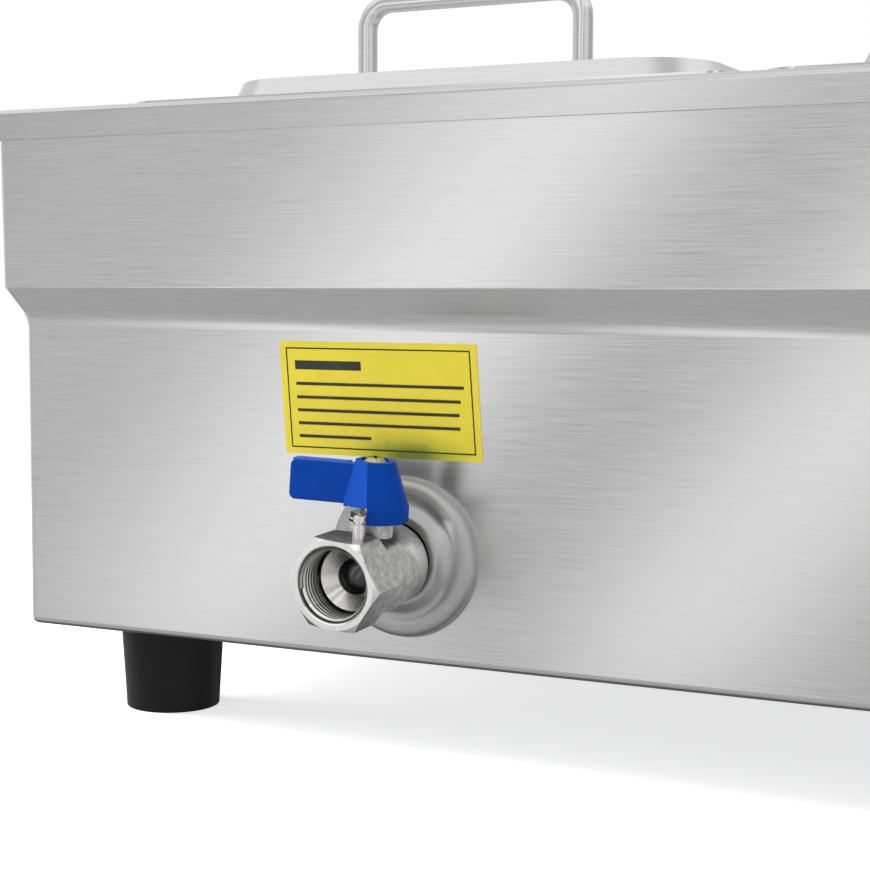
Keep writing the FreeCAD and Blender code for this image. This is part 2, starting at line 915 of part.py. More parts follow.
def valve_stem():
    centre = stem_at(0)
    shaft = rod(stem_radius, stem_at(collar_bottom), stem_at(stem_top))
    collar = rod(collar_radius, stem_at(collar_bottom), stem_at(collar_bottom + collar_height))
    half_x = tongue_length / 2
    half_y = tongue_width / 2
    tongue = block(centre.x - half_x, centre.x + half_x, centre.y - half_y, centre.y + half_y,
                   centre.z + tongue_bottom, centre.z + collar_bottom + collar_height / 2)
    stem = joined([shaft, collar, tongue])
    for side in (-1, 1):
        ends = sorted((side * stem_flats / 2, side * 2 * stem_radius))
        flat = block(centre.x - 2 * stem_radius, centre.x + 2 * stem_radius,
                     centre.y + ends[0], centre.y + ends[1],
                     centre.z + stem_flat_bottom, centre.z + stem_top + past)
        stem = stem.cut(flat)
    tapped = rod(screw_radius, stem_at(hub_recess_floor - screw_length), stem_at(stem_top + past))
    return screwed_on(stem.cut(tapped))


def stem_packing():
    rings = []
    for k in range(2):
        low = packing_bottom + k * packing_ring
        high = low + packing_ring_height
        bore = stem_radius + running_gap
        rings.append(screwed_on(pipe(packing_radius, bore, stem_at(low), stem_at(high))))
    return group(rings)


def gland_nut():
    start = stem_at(boss_top)
    nut = hexagon(gland_flats, start, UP, gland_height)
    spigot = rod(packing_radius, stem_at(boss_top - gland_spigot), start + UP)
    end = start + UP * (gland_height + past)
    bore = rod(stem_radius + running_gap, start - UP * 2 * gland_spigot, end)
    return screwed_on(joined([nut, spigot]).cut(bore))


def stop_pin():
    top = pin_place(pin_top)
    pin = rod(pin_radius, pin_place(hex_flats / 2 - pin_sunk), top)
    pin = pin.makeChamfer(pin_chamfer, edges_on(pin, top, UP))
    low = pin_place(pin_groove_low)
    groove = pipe(pin_radius + past, pin_radius - pin_groove_depth, low, pin_place(pin_groove_high))
    return screwed_on(pin.cut(groove))


def hub_outline(radius, turn, side, b):
    """The hub's outline at one height: an arc round the far side, and flats up to the lever."""
    centre = stem_at(b)
    angle = radians(turn)
    corner = V(radius * cos(angle), radius * sin(angle), 0)
    joint = V(-side, lever_sheet / 2, 0)
    start = centre + V(corner.x, -corner.y, 0)
    end = centre + corner
    front = centre + V(joint.x, -joint.y, 0)
    back = centre + joint
    edges = [
        Part.Arc(start, centre + RIGHT * radius, end).toShape(),
        Part.LineSegment(end, back).toShape(),
        Part.LineSegment(back, front).toShape(),
        Part.LineSegment(front, start).toShape(),
    ]
    return Part.Wire(edges)


def lever_plate():
    rise = tan(radians(lever_slope))
    inner = -hub_top_side + past
    climb = (lever_reach + inner) * rise
    points = [
        (-lever_reach, lever_low),
        (inner, lever_low + climb),
        (inner, lever_high + climb),
        (-lever_reach, lever_high),
    ]
    plate = Part.Face(outline(points, [lever_corner, 0, 0, lever_corner]))
    plate = plate.extrude(V(0, 0, lever_sheet))
    plate.rotate(V(0, 0, 0), RIGHT, 90)
    plate.translate(stem_at(0) + V(0, lever_sheet / 2, 0))
    return plate


def hub_skirt():
    """Part of a ring under the hub, from which the lever's side is left out."""
    angle = radians(hub_foot_turn)
    cut_x = valve_x + hub_foot_radius * cos(angle)
    wide = 2 * hub_foot_radius
    centre = stem_at(0)
    inner = hub_foot_radius - skirt_wall
    ring = pipe(hub_foot_radius, inner, stem_at(skirt_bottom), stem_at(hub_foot))
    left_side = block(cut_x - wide, cut_x, centre.y - wide, centre.y + wide,
                      centre.z, centre.z + wide)
    return ring.cut(left_side)


def hub_underside():
    """The hub's lower edge rises from the lever towards the skirt."""
    centre = stem_at(0)
    end = hub_foot_radius * cos(radians(hub_foot_turn))
    points = [
        (-lever_reach, 0),
        (end, 0),
        (end, hub_bottom + skirt_rise),
        (-hub_foot_side, hub_bottom),
        (-hub_foot_side, lever_low),
        (-lever_reach, lever_low),
    ]
    wedge = Part.Face(outline(points)).extrude(V(0, 0, 4 * hub_foot_radius))
    wedge.rotate(V(0, 0, 0), RIGHT, 90)
    wedge.translate(centre + V(0, 2 * hub_foot_radius, 0))
    return wedge


def valve_handle():
    foot = (hub_foot_radius, hub_foot_turn, hub_foot_side)
    low = hub_outline(*foot, hub_foot)
    high = hub_outline(hub_top_radius, hub_top_turn, hub_top_side, hub_top)
    cone = Part.makeLoft([low, high], True, True)
    collar = Part.Face(hub_outline(*foot, hub_bottom)).extrude(UP * (hub_foot - hub_bottom))
    hub = joined([cone, collar]).cut(hub_underside())
    handle = joined([hub, lever_plate(), hub_skirt()])
    half = stem_flats / 2 + running_gap
    centre = stem_at(0)
    flats = block(centre.x - hub_foot_radius, centre.x + hub_foot_radius,
                  centre.y - half, centre.y + half, centre.z, centre.z + hub_top)
    bore = rod(stem_radius + running_gap, stem_at(skirt_bottom), stem_at(stem_top + collar_room))
    cavity = rod(hub_cavity_radius, centre, stem_at(hub_cavity_top))
    recess = rod(hub_recess_radius, stem_at(hub_recess_floor), stem_at(hub_top + past))
    screw = rod(screw_radius + hole_clearance, stem_at(stem_top), stem_at(hub_recess_floor + past))
    return screwed_on(handle.cut([bore.common(flats), cavity, recess, screw]))


def handle_screw():
    seat = stem_at(hub_recess_floor)
    top = hub_recess_floor + screw_head_height
    points = [
        (0, 0),
        (0, screw_head_radius),
        (screw_head_side, screw_head_radius),
        (screw_head_height, screw_head_flat),
        (screw_head_height, 0),
    ]
    head = turned(outline(points, [0, 0, 1.0, 0.8, 0]), seat, UP)
    end = hub_recess_floor - screw_length + past
    shank = rod(screw_radius, stem_at(end), seat + UP * screw_head_side)
    half = screw_slot_width / 2
    slots = []
    for k in range(2):
        slot = block(seat.x - screw_head_flat, seat.x + screw_head_flat, seat.y - half,
                     seat.y + half, stem_at(top - screw_slot_depth).z, stem_at(top + past).z)
        slot.rotate(seat, UP, screw_turn + 90 * k)
        slots.append(slot)
    return screwed_on(joined([head, shank]).cut(slots))


def element_z():
    return floor_z + element_height


def element_entries():
    return [well_shift - element_outer_leg, well_shift + element_outer_leg]


def swept(points, bends, radius):
    route = path(points, bends)
    first = route.Vertexes[0].Point
    ahead = (V(*points[1]) - V(*points[0])).normalize()
    ring = Part.Wire(Part.makeCircle(radius, first, ahead))
    return route.makePipeShell([ring], True, False)


def heating_element():
    z = element_z()
    inner = element_inner_leg
    outer = element_outer_leg
    turn = (outer - inner) / 2 - bend_slack
    middle_turn = inner - bend_slack
    end = well_right_x + bushing_reach + element_tail
    left = element_left_gap - well_right_x
    right = well_right_x - element_right_gap
    legs = [well_shift + leg for leg in (-outer, -inner, inner, outer)]
    points = [
        (end, legs[0], z),
        (left, legs[0], z),
        (left, legs[1], z),
        (right, legs[1], z),
        (right, legs[2], z),
        (left, legs[2], z),
        (left, legs[3], z),
        (end, legs[3], z),
    ]
    return swept(points, [turn, turn, middle_turn, middle_turn, turn, turn], element_radius)


def element_bushings():
    inside = well_right_x - gasket_sheet - bushing_flange
    solids = []
    for y in element_entries():
        start = V(inside, y, element_z())
        flange = rod(bushing_flange_radius, start, start + RIGHT * bushing_flange)
        shank = rod(bushing_radius, start, V(well_right_x + bushing_reach, y, element_z()))
        bore = rod(element_radius, start - RIGHT, V(well_right_x + bushing_reach + 1, y, element_z()))
        solids.append(joined([flange, shank]).cut(bore))
    return group(solids)


def element_gaskets():
    wall = RIGHT * well_right_x
    places = [wall + V(0, y, element_z()) for y in element_entries()]
    return group([pipe(gasket_radius, bushing_radius, p - RIGHT * gasket_sheet, p) for p in places])


def element_nuts():
    start = RIGHT * (well_right_x + deck_sheet)
    places = [start + V(0, y, element_z()) for y in element_entries()]
    return group([hexagon(element_nut_flats, p, RIGHT, element_nut_height, bushing_radius)
                  for p in places])


def element_terminals():
    start = well_right_x + bushing_reach + element_tail
    solids = []
    for y in element_entries():
        p = V(start, y, element_z())
        insulator = rod(insulator_radius, p, p + RIGHT * insulator_length)
        stud = rod(terminal_radius, p, p + RIGHT * (insulator_length + terminal_reach))
        solids.append(joined([insulator, stud]))
    return group(solids)


def element_brackets():
    y0 = well_shift - element_outer_leg - bracket_overhang
    y1 = well_shift + element_outer_leg + bracket_overhang
    spans = (-element_outer_leg, -element_inner_leg, element_inner_leg, element_outer_leg)
    solids = []
    for side in (-1, 1):
        x = side * bracket_place
        half = bracket_sheet / 2
        upright = block(x - half, x + half, y0, y1, floor_z, element_z())
        sole = block(x - half, x + bracket_foot, y0, y1, floor_z, floor_z + bracket_sheet)
        notches = []
        for span in spans:
            place = V(x, well_shift + span, element_z())
            reach = RIGHT * 2 * bracket_sheet
            notches.append(rod(element_radius, place - reach, place + reach))
        solids.append(joined([upright, sole]).cut(notches))
    return group(solids)


def panel_cuts(y0, y1):
    """The holes that the control plate and the casing behind it share."""
    def hole(radius, x, z):
        return rod(radius, V(x, y0, z), V(x, y1, z))

    x, z = switch_place()
    half_x = switch_height / 2
    half_z = switch_length / 2
    cuts = [
        hole(shaft_hole, knob_x, panel_z),
        block(x - half_x, x + half_x, y0, y1, z - half_z, z + half_z),
    ]
    cuts += [hole(lamp_body_radius + hole_clearance, x, lamp_z()) for x in lamp_places()]
    for p in thermostat_screw_places():
        cuts.append(hole(thermostat_screw_radius + hole_clearance, p.x, p.z))
    for p in plate_screw_places():
        cuts.append(hole(plate_screw_radius + hole_clearance, p.x, p.z))
    return cuts


def plate_screw_places():
    dx = plate_length / 2 - plate_screw_inset
    dz = plate_height / 2 - plate_screw_inset
    return [V(panel_x + i * dx, panel_front_y, panel_z + k * dz) for i in (-1, 1) for k in (-1, 1)]


def thermostat_screw_places():
    half = thermostat_screw_pitch / 2
    return [V(knob_x + side * half, panel_front_y, panel_z) for side in (-1, 1)]


def lamp_places():
    start = panel_x - plate_length / 2 + lamp_from_left
    return [start, start + lamp_pitch]


def lamp_z():
    return panel_z + lamp_up


def switch_place():
    x = panel_x - plate_length / 2 + switch_from_left
    return x, panel_z - switch_drop


def control_plate():
    plate = slab(plate_length / 2, plate_height / 2, plate_corner, 0, plate_sheet)
    plate.rotate(V(0, 0, 0), RIGHT, 90)
    plate.translate(V(panel_x, front_y, panel_z))
    return plate.cut(panel_cuts(panel_front_y - 2, front_y + 2))


def pan_head_screws(places, radius, head_radius, head_height, length):
    solids = []
    for p in places:
        top = p + FRONT * head_height
        head = rod(head_radius, p, top)
        head = head.makeFillet(head_height / 2, edges_on(head, top, FRONT))
        shank = rod(radius, p + FRONT * head_height / 4, p + BACK * length)
        wide = 2 * head_radius
        half = head_radius * screw_slot_share
        slot = block(p.x - wide, p.x + wide, top.y - past, top.y + head_height / 2,
                     p.z - half, p.z + half)
        solids.append(joined([head, shank]).cut(slot))
    return group(solids)


def panel_screws():
    return pan_head_screws(plate_screw_places(), plate_screw_radius, plate_screw_head_radius,
                           plate_screw_head_height, plate_screw_length)


def thermostat_screws():
    return pan_head_screws(thermostat_screw_places(), thermostat_screw_radius, thermostat_screw_head,
                           thermostat_screw_head_height, thermostat_screw_length)


def thermostat_body():
    x0 = knob_x - thermostat_length / 2
    x1 = knob_x + thermostat_length / 2
    z0 = panel_z - thermostat_height / 2
    z1 = panel_z + thermostat_height / 2
    back_y = inner_front_y + thermostat_depth
    body = block(x0, x1, inner_front_y, back_y, z0, z1)
    long_edges = [e for e in body.Edges if e.BoundBox.YLength > thermostat_depth / 2]
    solids = [body.makeFillet(thermostat_edge, long_edges)]
    for side in (-1, 1):
        x = knob_x + side * thermostat_length / 4
        middle = (inner_front_y + back_y) / 2
        half = tab_width / 2
        solids.append(block(x - half, x + half, middle, middle + tab_sheet,
                            z0 - tab_length, z0 + past))
    start = V(knob_x, inner_front_y - past, panel_z)
    cuts = [rod(shaft_radius + running_gap, start, start + BACK * shaft_pocket)]
    for p in thermostat_screw_places():
        cuts.append(rod(thermostat_screw_radius, p, p + BACK * thermostat_screw_length))
    return joined(solids).cut(cuts)


def thermostat_shaft():
    start = V(knob_x, inner_front_y + shaft_in_body, panel_z)
    end = V(knob_x, panel_front_y - knob_gap - shaft_in_knob, panel_z)
    shaft = rod(shaft_radius, start, end)
    wide = 2 * shaft_radius
    flat = block(knob_x - wide, knob_x + wide, end.y - past, panel_front_y - knob_gap,
                 panel_z + shaft_flat, panel_z + wide)
    return shaft.cut(flat)


def thermostat_knob():
    base = V(knob_x, panel_front_y - knob_gap, panel_z)
    skirt_points = [
        (0, 0),
        (0, knob_radius),
        (knob_skirt_side, knob_radius),
        (knob_skirt, knob_grip_radius),
        (knob_skirt, 0),
    ]
    skirt = turned(outline(skirt_points, [0, 0.6, 1.0, 0, 0]), base, FRONT)
    column_points = [
        (knob_skirt - past, 0),
        (knob_skirt - past, knob_grip_radius),
        (knob_height, knob_grip_radius - knob_taper),
        (knob_height, 0),
    ]
    column = turned(outline(column_points, [0, 0, knob_edge, 0]), base, FRONT)
    half = knob_grip_width / 2
    wide = 2 * knob_grip_radius
    far = base.y - knob_height - past
    for side in (-1, 1):
        ends = sorted((knob_x + side * half, knob_x + side * wide))
        column = column.cut(block(ends[0], ends[1], far, base.y - knob_skirt,
                                  panel_z - wide, panel_z + wide))
    end = base + FRONT * knob_bore_depth
    bore = rod(shaft_radius + running_gap, base + BACK, end)
    flat = block(knob_x - wide, knob_x + wide, end.y, base.y + past,
                 panel_z + shaft_flat + running_gap, panel_z + wide)
    inner = knob_grip_radius - knob_wall
    hollow = rod(inner, base + BACK, base + FRONT * (knob_skirt - knob_wall))
    return joined([skirt, column]).cut([bore.cut(flat), hollow])


def lamp(x):
    front = V(x, panel_front_y, lamp_z())
    ring = [(0, 0), (0, lamp_bezel_radius), (lamp_bezel, lamp_bezel_radius), (lamp_bezel, 0)]
    bezel = turned(outline(ring, [0, 0, lamp_bezel_edge, 0]), front, FRONT)
    low = lamp_bezel / 2
    cap = [(low, 0), (low, lamp_body_radius), (lamp_lens, lamp_body_radius), (lamp_lens, 0)]
    lens = turned(outline(cap, [0, 0, lamp_lens_edge, 0]), front, FRONT)
    body = rod(lamp_body_radius, front + FRONT * low, front + BACK * lamp_depth)
    return joined([bezel, lens, body])


def switch_housing():
    x, z = switch_place()
    half_x = switch_height / 2
    half_z = switch_length / 2
    edge_x = half_x + switch_bezel_margin
    edge_z_half = half_z + switch_bezel_margin
    face_y = panel_front_y - switch_bezel
    back_y = panel_front_y + switch_depth
    bezel = block(x - edge_x, x + edge_x, face_y, panel_front_y, z - edge_z_half, z + edge_z_half)
    bezel = bezel.makeFillet(switch_edge, edges_on(bezel, V(x, face_y, z), FRONT))
    body = block(x - half_x, x + half_x, face_y + past, back_y, z - half_z, z + half_z)
    half = rocker_width / 2 + rocker_gap
    tall = rocker_radius + rocker_gap
    floor_y = panel_front_y + rocker_cavity_depth
    cavity = block(x - half, x + half, face_y - past, floor_y, z - tall, z + tall)
    pieces = [joined([bezel, body]).cut(cavity)]
    for k in (-1, 0, 1):
        low = z + k * switch_tab_pitch
        pieces.append(block(x - tab_width / 2, x + tab_width / 2, back_y - past,
                            back_y + switch_tab_length, low, low + tab_sheet))
    y = rocker_pivot_y()
    for side in (-1, 1):
        root = V(x + side * (half + past), y, z)
        tip = V(x + side * (half - trunnion_reach), y, z)
        pieces.append(rod(trunnion_radius - running_gap, root, tip))
    return joined(pieces)


def rocker_pivot_y():
    return panel_front_y + rocker_pivot_depth


def switch_rocker():
    x, z = switch_place()
    y = rocker_pivot_y()
    half = rocker_width / 2
    wide = 2 * rocker_radius
    drum = rod(rocker_radius, V(x - half, y, z), V(x + half, y, z))
    front = y - rocker_front
    fall = tan(radians(rocker_tilt))
    cuts = [block(x - wide, x + wide, y + rocker_back, y + wide, z - wide, z + wide)]
    for side in (-1, 1):
        points = [
            (x - rocker_width, front, z),
            (x - rocker_width, front - fall * wide, z + side * wide),
            (x - rocker_width, front - 2 * wide, z + side * wide),
            (x - rocker_width, front - 2 * wide, z),
        ]
        slope = Part.Face(path(points, [0] * 4, closed=True))
        cuts.append(slope.extrude(V(2 * rocker_width, 0, 0)))
    cuts.append(rod(trunnion_radius + running_gap, V(x - wide, y, z), V(x + wide, y, z)))
    rocker = drum.cut(cuts)
    rocker.rotate(V(x, y, z), RIGHT, -rocker_tilt)
    return rocker


def bulb_gland_place():
    x = knob_x - thermostat_length / 2 - capillary_run
    return V(x, well_front_y, floor_z + bulb_height)


def bulb_start():
    gland = bulb_gland_place()
    return V(gland.x - capillary_bend - bulb_past_bend, well_front_y + bulb_from_wall, gland.z)


def capillary_tube():
    gland = bulb_gland_place()
    exit_x = knob_x - thermostat_length / 2
    y = inner_front_y + thermostat_depth / 2
    end = bulb_start()
    points = [
        (exit_x, y, gland.z),
        (gland.x, y, gland.z),
        (gland.x, end.y, gland.z),
        (end.x, end.y, gland.z),
    ]
    return swept(points, [capillary_bend, capillary_bend], capillary_radius)


def thermostat_bulb():
    start = bulb_start()
    end = start - RIGHT * bulb_length
    bulb = rod(bulb_radius, start, end)
    ends = edges_on(bulb, start, RIGHT) + edges_on(bulb, end, RIGHT)
    return bulb.makeFillet(bulb_edge, ends)


def bulb_gland():
    place = bulb_gland_place()
    out = deck_sheet + bulb_gland_nut_height
    flange = rod(bulb_gland_flange, place, place + BACK * bulb_gland_sheet)
    shank = rod(bulb_gland_radius, place + BACK, place + FRONT * out)
    nut = hexagon(bulb_gland_nut_flats, place + FRONT * deck_sheet, FRONT, bulb_gland_nut_height)
    bore = rod(capillary_radius, place + BACK * out, place + FRONT * 2 * out)
    return joined([flange, shank, nut]).cut(bore)


def bulb_clips():
    start = bulb_start()
    clips = []
    for along in (clip_inset, bulb_length - clip_inset):
        x0 = start.x - along - clip_width / 2
        x1 = x0 + clip_width
        outer = bulb_radius + clip_sheet
        top = start.z + outer
        under = start.z + bulb_radius
        wide = 3 * outer
        ring = pipe(outer, bulb_radius, V(x0, start.y, start.z), V(x1, start.y, start.z))
        mouth = block(x0 - past, x1 + past, start.y - wide, start.y - clip_hook,
                      start.z - wide, under - clip_lip)
        arm = block(x0, x1, well_front_y, start.y, under, top)
        tab = block(x0, x1, well_front_y, well_front_y + clip_sheet, under, top + clip_tab)
        clips.append(joined([ring.cut(mouth), arm, tab]))
    return group(clips)


def inlet_place():
    return V(half_length - inlet_from_right, half_width, edge_z + inlet_height)


def earth_place():
    return V(half_length - earth_from_right, half_width, edge_z + inlet_height)


def cord_gland():
    p = inlet_place()
    hexed = hexagon(gland_hex_flats, p, BACK, gland_hex_height)
    inner = p + FRONT * (casing_sheet + gland_inside)
    outer = p + BACK * (gland_hex_height + gland_spigot_length)
    thread = rod(gland_thread_radius, inner, p + BACK)
    spigot = rod(gland_thread_radius - gland_wall, p, outer)
    bore = rod(gland_bore, inner + FRONT, outer + BACK)
    return joined([hexed, thread, spigot]).cut(bore)


def gland_dome_nut():
    p = inlet_place() + BACK * gland_hex_height
    inner = gland_thread_radius - gland_wall
    points = [
        (0, inner),
        (0, gland_dome_radius),
        (gland_dome_side, gland_dome_radius),
        (gland_dome_length, gland_bore + gland_dome_lip),
        (gland_dome_length, gland_bore),
        (gland_spigot_length, gland_bore),
        (gland_spigot_length, inner),
    ]
    return turned(outline(points, [0, 0.6, 2.5, 0.8, 0, 0, 0]), p, BACK)


def gland_locknut():
    p = inlet_place() + FRONT * casing_sheet
    return hexagon(gland_lock_flats, p, FRONT, gland_lock_height, gland_thread_radius)


def earth_terminal():
    p = earth_place()
    second = p + BACK * (earth_nut_height + earth_nut_gap)
    stud = rod(earth_radius, p + FRONT * earth_inside, p + BACK * earth_reach)
    outer = hexagon(earth_nut_flats, p, BACK, earth_nut_height, earth_radius)
    far = hexagon(earth_nut_flats, second, BACK, earth_nut_height, earth_radius)
    behind = p + FRONT * casing_sheet
    inner = hexagon(earth_nut_flats, behind, FRONT, earth_nut_height, earth_radius)
    return group([stud, outer, far, inner])


def block_place():
    x = half_length - block_from_right - block_length
    return V(x, half_width - block_from_back - block_width, plate_top_z)


def block_screw_places():
    corner = block_place()
    step = block_length / block_ways
    return [corner + V(step * (k + 0.5), block_width / 2, block_height) for k in range(block_ways)]


def terminal_block():
    p = block_place()
    body = block(p.x, p.x + block_length, p.y, p.y + block_width, p.z, p.z + block_height)
    upright = [e for e in body.Edges if e.BoundBox.ZLength > block_height / 2]
    body = body.makeFillet(block_edge, upright)
    cuts = []
    for s in block_screw_places():
        cuts.append(rod(block_screw_radius, s - UP * block_screw_depth, s + UP))
        wire = V(s.x, p.y - past, p.z + block_wire_height)
        cuts.append(rod(block_wire_radius, wire, wire + BACK * (block_width + 2 * past)))
    return body.cut(cuts)


def terminal_screws():
    screws = []
    half = block_slot / 2
    wide = 2 * block_screw_radius
    for s in block_screw_places():
        top = s - UP * block_screw_height
        screw = rod(block_screw_radius, s - UP * block_screw_depth, top)
        slot = block(s.x - wide, s.x + wide, s.y - half, s.y + half, top.z - block_slot, s.z)
        screws.append(screw.cut(slot))
    return group(screws)


def limit_thermostat():
    high = V(0, well_shift, floor_z - deck_sheet)
    low = high - UP * limit_height
    disc = rod(limit_radius, low, high)
    strap = slab(limit_strap_length / 2, limit_strap_width / 2, limit_strap_corner,
                 high.z - limit_strap_sheet, high.z, well_shift)
    half_x = tab_width / 2
    half_y = tab_sheet / 2
    tabs = []
    for side in (-1, 1):
        x = side * limit_tab_offset
        tabs.append(block(x - half_x, x + half_x, well_shift - half_y, well_shift + half_y,
                          low.z - limit_tab_length, low.z + past))
    return joined([disc, strap] + tabs)


def front_label():
    low = valve_z + rosette_radius + label_above_rosette
    high = waist_z - label_below_waist
    x = -half_length + label_inset
    points = [
        (x + label_lean, front_y, low),
        (x + label_lean + label_length, front_y, low),
        (x + label_length, front_y, high),
        (x, front_y, high),
    ]
    return Part.Face(path(points, [label_corner] * 4, closed=True)).extrude(FRONT * label_sheet)


def pan_x(side):
    return side * pan_pitch / 2


def food_pan(side):
    x = pan_x(side)
    half_x = pan_body_length / 2
    half_y = pan_body_width / 2

    def bowl(inset, floor):
        top = rectangle(half_x - inset, half_y - inset, pan_corner - inset,
                        pan_top_z, well_shift, x)
        shrink = pan_taper + inset
        low = rectangle(half_x - shrink, half_y - shrink, pan_floor_corner - inset,
                        floor, well_shift, x)
        solid = Part.makeLoft([low, top], True, True)
        return solid.makeFillet(pan_floor_bend - inset, edges_on(solid, UP * floor, UP))

    outer = bowl(0.0, pan_floor_z)
    inner = bowl(pan_sheet, pan_floor_z + pan_sheet)
    start = pan_rim_corner - pan_rim_bend - fold_run
    low_z = pan_top_z - pan_rim_drop
    points = [(start, pan_top_z), (pan_rim_corner, pan_top_z), (pan_rim_corner, low_z)]
    section = strip(points, [pan_rim_bend], -pan_sheet)
    rim = folded_ring(section, pan_length / 2, pan_width / 2, pan_rim_corner, well_shift, x)
    inset = pan_rim_corner - start
    flange = slab(pan_length / 2 - inset, pan_width / 2 - inset, start,
                  pan_top_z - pan_sheet, pan_top_z, well_shift, x)
    return joined([outer, flange, rim]).cut(inner)


def lid_shell(side):
    x = pan_x(side)
    half_x = pan_length / 2 - lid_margin
    half_y = pan_width / 2 - lid_margin
    plate = slab(half_x, half_y, lid_corner, lid_z, lid_z + lid_sheet, well_shift, x)

    def dome(inset, low, high):
        m = lid_panel_margin + inset
        d = lid_panel_draft
        base = rectangle(half_x - m, half_y - m, lid_panel_corner - inset, low, well_shift, x)
        top = rectangle(half_x - m - d, half_y - m - d, lid_panel_corner - d - inset, high, well_shift, x)
        return Part.makeLoft([base, top], True, True)

    outer = dome(0.0, lid_z + lid_sheet, lid_panel_z)
    inner = dome(lid_sheet, lid_z, lid_panel_z - lid_sheet)
    return joined([plate, outer]).cut(inner)


def hinge_half(side, direction):
    """One leaf of the lid hinge with its knuckles: direction is 1 at the back, -1 on the flap."""
    x0 = pan_x(side) - hinge_length / 2
    step = hinge_length / hinge_knuckles
    low = lid_panel_z
    high = lid_panel_z + hinge_leaf_sheet

    def strip_between(a, b, near, far):
        ends = sorted((hinge_y + direction * near, hinge_y + direction * far))
        return block(a, b, ends[0], ends[1], low, high)

    pieces = [strip_between(x0, x0 + hinge_length, hinge_leaf_start, hinge_leaf_reach)]
    first = 0 if direction > 0 else 1
    for k in range(first, hinge_knuckles, 2):
        a = x0 + k * step + hinge_side_gap / 2
        b = x0 + (k + 1) * step - hinge_side_gap / 2
        pieces.append(rod(hinge_radius, V(a, hinge_y, hinge_z), V(b, hinge_y, hinge_z)))
        pieces.append(strip_between(a, b, hinge_web_start, hinge_leaf_start + past))
    return pieces


def hinge_bore(side):
    half = RIGHT * (hinge_length / 2 + past)
    middle = V(pan_x(side), hinge_y, hinge_z)
    return rod(hinge_pin_radius + hinge_pin_gap, middle - half, middle + half)


def lid_half(side, direction):
    edge = hinge_y + direction * lid_split_gap / 2
    ends = sorted((edge, edge + direction * pan_width))
    x = pan_x(side)
    keep = block(x - pan_length, x + pan_length, ends[0], ends[1],
                 lid_z - past, lid_panel_z + past)
    sheet = lid_shell(side).common(keep)
    return joined([sheet] + hinge_half(side, direction)).cut(hinge_bore(side))


def lid_pin(side):
    half = RIGHT * hinge_length / 2
    middle = V(pan_x(side), hinge_y, hinge_z)
    return rod(hinge_pin_radius, middle - half, middle + half)


def lid_handle(side):
    x = pan_x(side)
    y = well_shift - pan_width / 2 + handle_from_front
    x0 = x - handle_span / 2
    x1 = x + handle_span / 2
    top = lid_panel_z + handle_rise
    points = [(x0, y, lid_panel_z), (x0, y, top), (x1, y, top), (x1, y, lid_panel_z)]
    pieces = [swept(points, [handle_bend, handle_bend], handle_radius)]
    for end in (x0, x1):
        base = V(end, y, lid_panel_z)
        pieces.append(rod(handle_pad_radius, base, base + UP * handle_pad))
    return joined(pieces)


def main():
    makers = {
        "outer_casing": outer_casing,
        "base_plate": base_plate,
        "base_screws": base_screws,
        "feet": feet,
        "foot_washers": foot_washers,
        "foot_screws": foot_screws,
        "foot_nuts": foot_nuts,
        "water_tank": water_tank,
        "pan_support_bar": pan_support_bar,
        "drain_pipe": drain_pipe,
        "escutcheon": escutcheon,
        "valve_body": valve_body,
        "valve_retainer": valve_retainer,
        "ball_seats": ball_seats,
        "valve_ball": valve_ball,
        "valve_stem": valve_stem,
        "stem_packing": stem_packing,
        "gland_nut": gland_nut,
        "stop_pin": stop_pin,
        "valve_handle": valve_handle,
        "handle_screw": handle_screw,
        "heating_element": heating_element,
        "element_bushings": element_bushings,
        "element_gaskets": element_gaskets,
        "element_nuts": element_nuts,
        "element_terminals": element_terminals,
        "element_brackets": element_brackets,
        "control_plate": control_plate,
        "panel_screws": panel_screws,
        "thermostat_body": thermostat_body,
        "thermostat_screws": thermostat_screws,
        "thermostat_shaft": thermostat_shaft,
        "thermostat_knob": thermostat_knob,
        "capillary_tube": capillary_tube,
        "thermostat_bulb": thermostat_bulb,
        "bulb_gland": bulb_gland,
        "bulb_clips": bulb_clips,
        "power_lamp": lambda: lamp(lamp_places()[0]),
        "heating_lamp": lambda: lamp(lamp_places()[1]),
        "switch_housing": switch_housing,
        "switch_rocker": switch_rocker,
        "cord_gland": cord_gland,
        "gland_dome_nut": gland_dome_nut,
        "gland_locknut": gland_locknut,
        "earth_terminal": earth_terminal,
        "terminal_block": terminal_block,
        "terminal_screws": terminal_screws,
        "limit_thermostat": limit_thermostat,
        "front_label": front_label,
    }
    for side, name in ((-1, "left"), (1, "right")):
        makers[name + "_pan"] = lambda s=side: food_pan(s)
        makers[name + "_lid_rear"] = lambda s=side: lid_half(s, 1)
        makers[name + "_lid_flap"] = lambda s=side: lid_half(s, -1)
        makers[name + "_lid_pin"] = lambda s=side: lid_pin(s)
        makers[name + "_lid_handle"] = lambda s=side: lid_handle(s)
    os.makedirs("parts", exist_ok=True)
    for name, make in makers.items():
        shape = make()
        shape.exportStep("parts/" + name + ".step")
        solids = len(shape.Solids)
        print(name, "solids", solids, "volume", round(shape.Volume, 1), "valid", shape.isValid())


main()
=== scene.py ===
import bpy
import json
from math import cos, radians, sin, tan
from mathutils import Matrix, Vector


